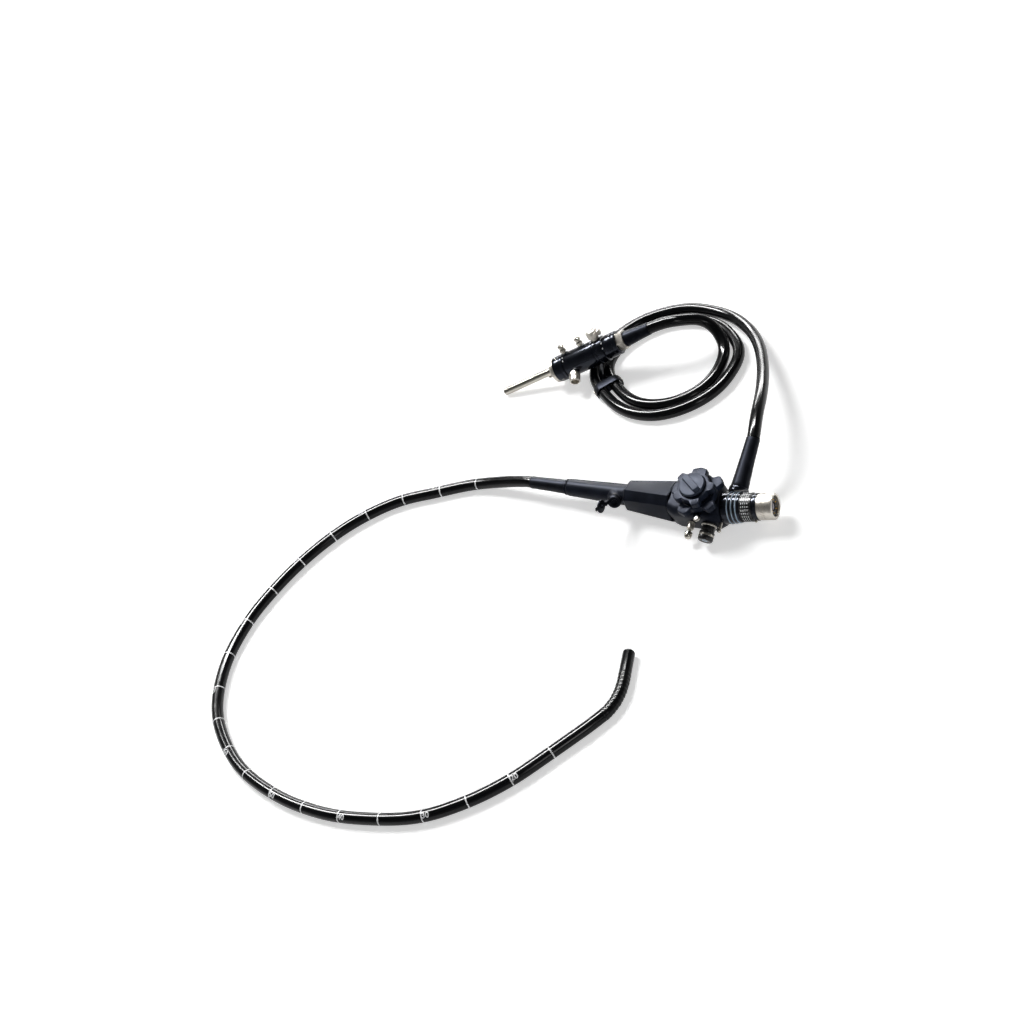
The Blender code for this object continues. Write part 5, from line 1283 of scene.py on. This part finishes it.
    low, high = floor + clearance, floor + 3.3
    plate = turnedPiece(
        "contactPlateMoulding",
        [(low, 5.2), (low, bore - 0.3), (high - 0.4, bore - 0.3), (high, bore - 0.7), (high, 8.9),
         (high - 0.3, 8.7), (high - 0.3, 6.3), (high, 6.1), (high, 5.2)], 72, True,
    )
    finishPiece(plate, eyepiecePlace, "black hard anodised aluminium", stands=["contact_plate"], edge=0.08)
    pins = []
    for i in range(eyepiece["contacts"]):
        pin = turnedPiece(
            "contact", [(high - 1.0, 0.3), (high - 1.0, 0.75), (high + 0.5, 0.75), (high + 0.9, 0.4)], 20
        )
        pin.data.transform(turnAbout("Z", 360 * i / eyepiece["contacts"] + 15) @ move(7.5, 0, 0))
        pins.append(pin)
    finishPiece(joinPieces("contactPins", pins), eyepiecePlace, "gold plated contact", angle=50)
    wide = eyepiece["lensRadius"]
    profile = [(low, wide), (high - 1.4, wide)]
    for slant in range(10, 90, 10):
        angle = math.radians(slant)
        profile.append((high - 1.4 + 1.6 * math.sin(angle), wide * math.cos(angle)))
    lens = turnedPiece("eyepieceLensGlass", profile, 48)
    finishPiece(lens, eyepiecePlace, "coated crown glass lens", stands=["eyepiece_lens"], angle=50)
    print("eyepiece")


# Cord outlet at the back of the body

outlet = {
    "station": 33.5,  # millimetres along the handle from the wheels' axis
    "rise": 11.0,  # degrees
    "socketRadius": 11.2,
    "socketOut": 24.5,
    "neckSpace": 19.2,
    "bootLength": 58.0,
    "bootRadii": (7.8, 10.0),
}


def outletPlace():
    rise = math.radians(outlet["rise"])
    out = (0, math.cos(rise), math.sin(rise))
    up = (0, -math.sin(rise), math.cos(rise))
    return handlePlace @ move(outlet["station"], 0, 0) @ frameFrom((0, 0, 0), out, up) @ zToX


def addOutlet():
    place = outletPlace()
    wide, out = outlet["socketRadius"], outlet["socketOut"]
    socket = turnedPiece(
        "cordSocketMoulding",
        [(8.0, wide - 1), (8.0, wide), (out - 4.2, wide), (out - 3.8, wide - 0.5),
         (out - 3.2, wide - 0.5), (out - 2.8, wide), (out - 1.4, wide), (out - 0.4, wide - 0.5),
         (out, wide - 1.2), (out, 9.0)], 72,
    )
    space = turnedPiece("neckSpace", [(-20, outlet["neckSpace"]), (60, outlet["neckSpace"])], 72)
    carve(socket, space, "DIFFERENCE", place.inverted() @ eyepiecePlace)
    finishPiece(socket, place, "dark modified PPO body moulding", stands=["cord_socket"], edge=0.1)
    start = out + clearance
    low, high = outlet["bootRadii"]
    boot = turnedPiece("cordBootRubber", bootRings(start + outlet["bootLength"], start, low, high, 14), 64)
    finishPiece(boot, place, "moulded black nitrile rubber and painted shade", stands=["cord_boot"], edge=0.2)
    print("cord outlet")


# Light guide connector along its leaning axis, from the rod's tip

connector = {
    "tip": (-0.289088, 0.133419, 0.002534),  # metres
    "heading": 23.7,  # degrees
    "rise": 13.2,
    "rodRadius": 4.9,  # millimetres
    "rodOffset": 2.4,
    "pipeOffset": -5.0,
    "rodEnd": 72.4,
    "ringRadius": 15.2,
    "collarRadius": 16.0,
    "bodyRadius": 15.8,
    "stepRadius": 16.2,
    "rearRadius": 15.0,
    "nutRadius": 12.8,
    "nippleRadius": 4.2,
    "nutStart": 169.6,  # millimetres from the rod's tip, as are the other stations
    "nutEnd": 178.6,
    "bootRadii": (7.8, 10.0),
    "screwStation": 84.0,
    "screwTurns": (-8, 112, 232),
    "sealPins": ((95.6, -62), (95.6, -80), (151.4, -40), (151.4, -66), (151.4, -92)),  # station and turn
    "nippleStations": (98.0, 122.5),
    "fittingStation": 102.0,
    "ventStation": 143.5,
    "lean": -18.4,  # degrees from upright
    "fittingLean": 103.0,
}
connectorFrame = (
    Matrix.Translation(connector["tip"])
    @ turnAbout("Z", connector["heading"])
    @ turnAbout("Y", -connector["rise"])
)
alongConnector = connectorFrame @ zToX


def fittingPlace(station, lean):
    # Z leaves the connector square to its axis, leaning from upright
    return connectorFrame @ move(station, 0, 0) @ turnAbout("X", lean)


def addConnector():
    wide, end = connector["rodRadius"], connector["rodEnd"]
    rod = turnedPiece(
        "lightGuideRodSteel",
        [(0.9, 3.6), (0, 3.7), (0, wide - 0.5), (0.5, wide), (57.0, wide), (57.2, wide - 0.25),
         (58.0, wide - 0.25), (58.2, wide), (end, wide), (end, 3.0)], 64,
    )
    lift = connectorFrame @ move(0, 0, connector["rodOffset"]) @ zToX
    finishPiece(rod, lift, "polished stainless steel", stands=["light_guide_rod"])
    face = turnedPiece("lightGuideFibreEnd", [(1.2, 3.5), (0.35, 3.6), (0.15, 3.2), (0.1, 1.0)], 40)
    finishPiece(face, lift, "coated crown glass lens", angle=50)
    pipe = turnedPiece(
        "airPipeSteel", [(62.4, 0.9), (62.4, 1.4), (62.6, 1.6), (end, 1.6), (end, 0.9)], 32, True
    )
    place = connectorFrame @ move(0, 0, connector["pipeOffset"]) @ zToX
    finishPiece(pipe, place, "polished stainless steel", stands=["air_pipe"])

    wide = connector["ringRadius"]
    ring = turnedPiece(
        "frontRingSteel",
        [(72.7, 2), (72.7, 11.6), (73.0, 12.2), (73.9, wide - 1.0), (75.0, wide - 0.1), (76.4, wide),
         (76.6, wide - 0.3), (77.2, wide - 0.3), (77.4, wide), (78.5, wide), (78.7, wide - 0.4), (78.7, 2)], 80,
    )
    finishPiece(ring, alongConnector, "satin chromed brass", stands=["front_ring"], edge=0.08)
    wide = connector["collarRadius"]
    collar = turnedPiece(
        "frontCollarMoulding",
        [(79.0, 2), (79.0, wide - 0.6), (79.5, wide), (88.4, wide), (88.7, wide - 0.5),
         (89.6, wide - 0.5), (89.9, wide), (92.3, wide), (93.0, wide - 0.8), (93.0, 2)], 80,
    )
    finishPiece(collar, alongConnector, "dark modified PPO body moulding", stands=["front_collar"], edge=0.08)
    screws = []
    for turn in connector["screwTurns"]:
        screw = turnedPiece(
            "screw",
            [(wide - 1.2, 0.5), (wide - 1.2, 1.25), (wide - 0.05, 1.25), (wide + 0.05, 1.05),
             (wide + 0.05, 0.7), (wide - 0.7, 0.6)], 24,
        )
        screw.data.transform(move(connector["screwStation"], 0, 0) @ turnAbout("X", turn))
        screws.append(screw)
    finishPiece(joinPieces("collarScrews", screws), connectorFrame, "polished stainless steel", angle=50)

    wide, step, rear = connector["bodyRadius"], connector["stepRadius"], connector["rearRadius"]
    shell = turnedPiece(
        "connectorBodyMoulding",
        [(93.3, 2), (93.3, wide - 0.8), (94.1, wide), (134.4, wide), (137.0, wide), (137.2, wide - 0.9),
         (138.0, wide - 0.9), (138.4, step), (141.2, step), (141.4, step - 0.35), (142.0, step - 0.35),
         (142.2, step), (150.5, step), (150.9, rear - 0.9), (152.0, rear - 0.9), (152.2, rear),
         (163.4, rear), (163.7, rear - 0.4), (164.3, rear - 0.4), (164.6, rear), (168.4, rear),
         (169.3, rear - 0.9), (169.3, 2)], 80,
    )
    finishPiece(shell, alongConnector, "dark modified PPO body moulding", stands=["connector_body"], edge=0.08)
    dots = []
    for station, turn in connector["sealPins"]:
        reach = (wide if station < 100 else rear) - 1.4
        dot = turnedPiece("dot", [(reach, 0.9), (reach + 1.3, 0.9), (reach + 1.5, 0.6)], 20)
        dot.data.transform(move(station, 0, 0) @ turnAbout("X", turn + 90))
        dots.append(dot)
    finishPiece(joinPieces("sealPins", dots), connectorFrame, "white marking ink and painted glints", angle=50)

    wide, start, end = connector["nutRadius"], connector["nutStart"], connector["nutEnd"]
    nut = turnedPiece("hexNutBrass", [(start, 2), (start, wide), (end, wide), (end, 2)], 6)
    cone = turnedPiece(
        "cone",
        [(start - 4.6, 7.6), (start, 12.1), (start + 0.7, 12.9), (end - 0.7, 12.9), (end, 12.1),
         (end + 4.4, 7.6)], 64,
    )
    applyChange(nut, "BOOLEAN", object=cone, operation="INTERSECT", solver="EXACT")
    bpy.data.objects.remove(cone, do_unlink=True)
    finishPiece(nut, alongConnector, "satin chromed brass", stands=["hex_nut"], edge=0.12)
    low, high = connector["bootRadii"]
    boot = turnedPiece("rearBootRubber", bootRings(lightGuide["bootEnd"], end + clearance, low, high), 64)
    finishPiece(boot, alongConnector, "moulded black nitrile rubber and painted shade", stands=["rear_boot"], edge=0.2)
    addFittings()
    print("light guide connector")


def addFittings():
    out, wide = connector["bodyRadius"], connector["nippleRadius"]
    for end, station in zip(("front", "rear"), connector["nippleStations"]):
        place = fittingPlace(station, connector["lean"])
        nipple = turnedPiece(
            f"{end}NippleSteel",
            [(out - 1.5, 3.0), (out + 0.4, 3.3), (out + 2.6, 3.1), (out + 3.2, wide), (out + 5.4, wide),
             (out + 6.4, 3.3), (out + 7.0, 3.0), (out + 8.2, 3.0), (out + 8.8, wide - 0.2),
             (out + 10.6, wide - 0.2), (out + 11.7, 3.2), (out + 12, 2.8), (out + 12, 1.7), (out + 8, 1.5)], 48,
        )
        finishPiece(nipple, place, "polished stainless steel", stands=[f"{end}_nipple"], angle=25)
        foot = turnedPiece(
            f"{end}NippleFoot",
            [(out - 1.5, 3.0), (out - 1.5, 5.0), (out + 0.5, 5.0), (out + 0.9, 4.6), (out + 0.9, 2.0)], 40,
        )
        finishPiece(foot, place, "dark modified PPO body moulding", edge=0.1)

    out = connector["stepRadius"]
    barrel = turnedPiece(
        "ventBarrelBrass",
        [(out - 1.5, 4.8), (out + 0.3, 5.2), (out + 2.0, 5.2), (out + 2.4, 6.2), (out + 3.2, 7.4),
         (out + 8.8, 7.4), (out + 9.1, 7.0), (out + 9.8, 7.0), (out + 10.1, 7.4), (out + 11.4, 7.4),
         (out + 12.2, 6.7), (out + 12.5, 5.6), (out + 12.3, 3.8), (out + 11.9, 3.0), (out + 11.9, 0.8)], 64,
    )
    place = fittingPlace(connector["ventStation"], connector["lean"])
    finishPiece(barrel, place, "satin chromed brass", stands=["vent_barrel"], edge=0.08, angle=25)
    knob = turnedPiece(
        "ventBarrelCock",
        [(4.6, 1.0), (4.6, 2.3), (6.4, 2.3), (6.9, 3.4), (7.6, 3.9), (9.6, 3.9), (10.6, 3.2), (11.2, 1.6)], 40,
    )
    knob.data.transform(move(0, 0, out + 6.4) @ turnAbout("X", 90))
    finishPiece(knob, place @ turnAbout("Z", 90), "satin chromed brass", angle=35)

    out = connector["bodyRadius"]
    fitting = turnedPiece(
        "suctionFittingSteel",
        [(out - 2.5, 4.0), (out + 0.2, 6.0), (out + 1.8, 6.0), (out + 2.2, 6.8), (out + 2.8, 7.2),
         (out + 7.4, 7.0), (out + 7.7, 6.5), (out + 8.6, 6.5), (out + 8.9, 6.8), (out + 12.6, 6.6),
         (out + 13.5, 5.9), (out + 13.5, 5.0), (out + 12.9, 4.6), (out + 7.5, 4.4), (out + 7.5, 1.8),
         (out + 9.8, 1.7), (out + 9.8, 0.8)], 64,
    )
    place = fittingPlace(connector["fittingStation"], connector["fittingLean"])
    finishPiece(fitting, place, "satin chromed brass", stands=["suction_fitting"], edge=0.06, angle=25)


# Clip that holds the two turns of the cord together

clip = {
    "outer": (-0.2211, 0.1639, 0.0074),  # metres, where it crosses the outer turn
    "inner": (-0.2095, 0.1773, 0.0074),
    "width": 11.0,  # millimetres
    "gap": 0.9,
    "wall": 1.4,
    "rivetLean": 82.0,  # degrees
    "shadeStripThick": 9.0,
    "shadeStrip": (
        (-0.2135, 0.1688, 0.0074), (-0.2250, 0.1790, 0.0074), (-0.2350, 0.1905, 0.0074),
        (-0.2420, 0.2040, 0.0074), (-0.2436, 0.2180, 0.0074),
    ),  # a black strip in the valley between the two turns, as painted shade
}


def addClip():
    outer, inner = Vector(clip["outer"]) + shift, Vector(clip["inner"]) + shift
    across = (inner - outer).normalized()
    place = frameFrom((outer + inner) / 2, across, (0, 0, 1))
    half = (inner - outer).length / 2 / mm
    bore = lightGuide["diameter"] / 2 / mm + clip["gap"]
    outline = []
    for radius, sign in ((bore + clip["wall"], 1), (bore, -1)):
        arc = [math.radians(-28 + 118 * step / 16) for step in range(17)]
        side = [(half + radius * math.cos(a), radius * math.sin(a)) for a in arc]
        side += [(-x, z) for x, z in side[::-1]]
        outline += side[::sign]
    wide = clip["width"] / 2
    arch = stackRings("cordClipMoulding", [[Vector((x, y, z)) * mm for x, z in outline] for y in (-wide, wide)])
    finishPiece(arch, place, "moulded black nitrile rubber and painted shade", stands=["cord_clip"], edge=0.35, angle=40)
    ends = []
    for side in (1, -1):
        for along in (-2.6, 2.6):
            rivet = turnedPiece("rivet", [(0, 1.2), (0, 1.9), (0.5, 1.9), (0.9, 1.5), (1.1, 0.7)], 28)
            lean = turnAbout("Y", clip["rivetLean"])
            rivet.data.transform(move(half + (bore + clip["wall"]) * 0.99 - 0.2, along, 1.2) @ lean)
            if side < 0:
                rivet.data.transform(turnAbout("Z", 180))
            ends.append(rivet)
    finishPiece(joinPieces("clipRivets", ends), place, "polished stainless steel", angle=50)
    # the black strip between the turns is painted shade: a dark piece laid where the turns shade each other
    shadeStrip = [Vector(point) + shift for point in clip["shadeStrip"]]
    route = smoothRoute(shadeStrip, cordSpacing)
    section = turnedRings([(0, clip["shadeStripThick"] / 2)], 24)[0]
    rings = []
    for a, b in zip(route, route[1:]):
        turn = frameFrom(a, b - a, (0, 0, 1)) @ zToX
        rings.append([turn @ point for point in section])
    filler = stackRings("cordShadeStrip", rings)
    finishPiece(filler, asDrawn, "moulded black nitrile rubber and painted shade")
    print("cord clip")


# Bending section: a rubber sleeve over the links, one length for each hinge, and the tip

bending = {
    "hinges": 8,
    "radius": 6.9,  # millimetres
    "inside": 6.52,
    "ribPitch": 4.8,
    "ribDepth": 0.34,
    "tipStart": 4.4,
    "seam": 0.5,  # millimetres between the tube's end and the sleeve
    # a band over the sleeve's start, along and out
    "binding": [(0.2, 6.7), (0.2, 6.95), (0.45, 7.04), (3.3, 7.04), (3.55, 6.93), (3.55, 6.7)],
    "tipLength": 33.0,
    "tipRadius": 6.7,
    "channelAt": (2.2, -2.0),  # across and up on the tip's face
    "lensAt": (-1.4, 1.6),
    "lightsAt": ((-3.6, -1.8), (2.2, 3.2)),
}


def sleeveLine(points):
    # hinge by hinge: from the middle of one link to the middle of the next, round the hinge between
    spans = []
    middles = [(a + b) / 2 for a, b in zip(points, points[1:])]
    for i in range(1, len(points) - 1):
        a, hinge, b = middles[i - 1], points[i], middles[i]
        line = []
        for step in range(17):
            t = step / 16
            spot = a * (1 - t) ** 2 + 2 * hinge * t * (1 - t) + b * t * t
            line.append((spot, (hinge - a).lerp(b - hinge, t)))
        spans.append(line)
    return spans


def onTip(across, up):
    # shifts a piece that is drawn along the tip's axis
    return zToX.inverted() @ move(0, across, up) @ zToX


def addBending():
    hinges = [jointPoint(f"bend_hinge_{i + 1}") for i in range(bending["hinges"])]
    hingeAxis = jointAxis("bend_hinge_8")
    tipWay = Vector((-hingeAxis.y, hingeAxis.x, 0)).normalized()
    start = Vector(insertion["end"]) + shift
    reach = hinges[0] - start
    before = start - reach + 2 * bending["seam"] * mm * reach.normalized()
    points = [before, *hinges, hinges[7] + tipWay * 2 * bending["tipStart"] * mm]
    travelled = 0.0
    for i, line in enumerate(sleeveLine(points)):
        rings = []
        stations = []
        for step, (spot, along) in enumerate(line):
            if step:
                travelled += (spot - line[step - 1][0]).length / mm
            wave = math.cos(math.tau * travelled / bending["ribPitch"])
            stations.append((spot, along, bending["radius"] - bending["ribDepth"] * (0.5 - 0.5 * wave) ** 2))
        walls = stations + [(spot, along, bending["inside"]) for spot, along, _ in stations[::-1]]
        for spot, along, radius in walls:
            ring = turnedRings([(0, radius)], 48)[0]
            turn = frameFrom(spot, along, (0, 0, 1)) @ zToX
            rings.append([turn @ point for point in ring])
        sleeve = stackRings(f"bendingSleeve{i + 1}", rings, True)
        finishPiece(sleeve, asDrawn, "glossy fluoroelastomer sleeve", None, angle=60)
        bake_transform(sleeve)
    binding = turnedPiece("sleeveBindingBand", bending["binding"], 48, True)
    finishPiece(binding, frameFrom(start, reach, (0, 0, 1)) @ zToX, "glossy fluoroelastomer sleeve", angle=40)
    start, end, wide = bending["tipStart"], bending["tipLength"], bending["tipRadius"]
    profile = [(start, 4.0), (start, wide - 0.3), (start + 0.3, wide)]
    profile += [(start + 2.0, wide), (start + 2.2, wide - 0.2), (start + 2.5, wide - 0.2), (start + 2.7, wide)]
    for step in range(9):
        angle = math.radians(90 - 11.25 * step)
        profile.append((end - 3.0 + 3.0 * math.cos(angle), wide - 3.0 + 3.0 * math.sin(angle)))
    tip = turnedPiece("distalTipMoulding", profile, 64)
    place = frameFrom(hinges[7], tipWay, (0, 0, 1)) @ turnAbout("X", 90) @ zToX
    channel = turnedPiece("channel", [(end - 12, 1.9), (end + 1, 1.9)], 32)
    carve(tip, channel, "DIFFERENCE", onTip(*bending["channelAt"]))
    seat = turnedPiece("seat", [(end - 2.3, 1.8), (end + 1, 1.8)], 32)
    carve(tip, seat, "DIFFERENCE", onTip(*bending["lensAt"]))
    finishPiece(tip, place, "moulded black polyurethane jacket", "distal_tip_body", ["distal_tip"], angle=25)
    lens = turnedPiece(
        "objectiveLensGlass", [(end - 2, 1.2), (end - 2, 1.5), (end - 0.2, 1.5), (end, 1.1), (end, 0.4)], 28
    )
    lens.data.transform(onTip(*bending["lensAt"]))
    finishPiece(lens, place, "coated crown glass lens", "distal_tip_body", ["objective_lens"], angle=50)
    guides = []
    for spot in bending["lightsAt"]:
        guide = turnedPiece("guide", [(end - 1, 0.6), (end - 1, 0.9), (end + 0.02, 0.9), (end + 0.04, 0.3)], 20)
        guide.data.transform(onTip(*spot))
        guides.append(guide)
    guides = joinPieces("tipLightGuides", guides)
    finishPiece(guides, place, "coated crown glass lens", "distal_tip_body", angle=50)
    print("bending section")


# CAD solids that stay, with the finish of the real piece

kept = {
    "back_cover": "dark modified PPO body moulding",
    "chassis": "drawn steel wire",
    "centre_post": "polished stainless steel",
    "ud_drum": "drawn steel wire",
    "rl_drum": "drawn steel wire",
    "ud_wire": "drawn steel wire",
    "rl_wire": "drawn steel wire",
    "fibre_bundle": "silicone fibre jacket",
    "suction_tube": "PTFE inner hose",
    "bend_base": "black hard anodised aluminium",
}


def paintKept():
    links = {f"bend_link_{i}": "drawn steel wire" for i in range(1, 8)}
    for node, paint in {**kept, **links}.items():
        solid = frame["nodes"][node]
        for slot in solid.material_slots:
            slot.material = paints[paint]


# The scene

addCamera()
addStudio()
addMaterials()
tubeStart = frameFrom(
    handlePlace @ Vector(((front["bootStart"] - clearance) * mm, 0, 0)), (-1, 0, 0), wheelAxis,
)
tubeEnd = Matrix.Translation(Vector(insertion["end"]) + shift) @ turnAbout("Z", insertion["heading"])
tubeRoute = routeBetween(tubeStart, insertion["points"], tubeEnd, insertion["easedPoints"])
insertionTube = addCord("insertionTubeJacket", tubeRoute, insertion["diameter"], "insertion_tube")
tubeMarks = addMarks(tubeRoute)
leave = outletPlace() @ zToX.inverted() @ move(lightGuide["outOfBody"], 0, 0)
arrive = connectorFrame @ move(lightGuide["bootEnd"] + clearance, 0, 0) @ turnAbout("Z", 180)
guideRoute = routeBetween(leave, lightGuide["points"], arrive, lightGuide["easedPoints"])
guideCord = addCord("lightGuideCordJacket", guideRoute, lightGuide["diameter"], "light_guide_cord")
print("cords", round(routeLengths(tubeRoute)[-1], 4), round(routeLengths(guideRoute)[-1], 4))

addFront()
addGrip()
addPort()
addBody()
addControls()
addValves()
addEyepiece()
addOutlet()
addConnector()
addClip()
addBending()
paintKept()
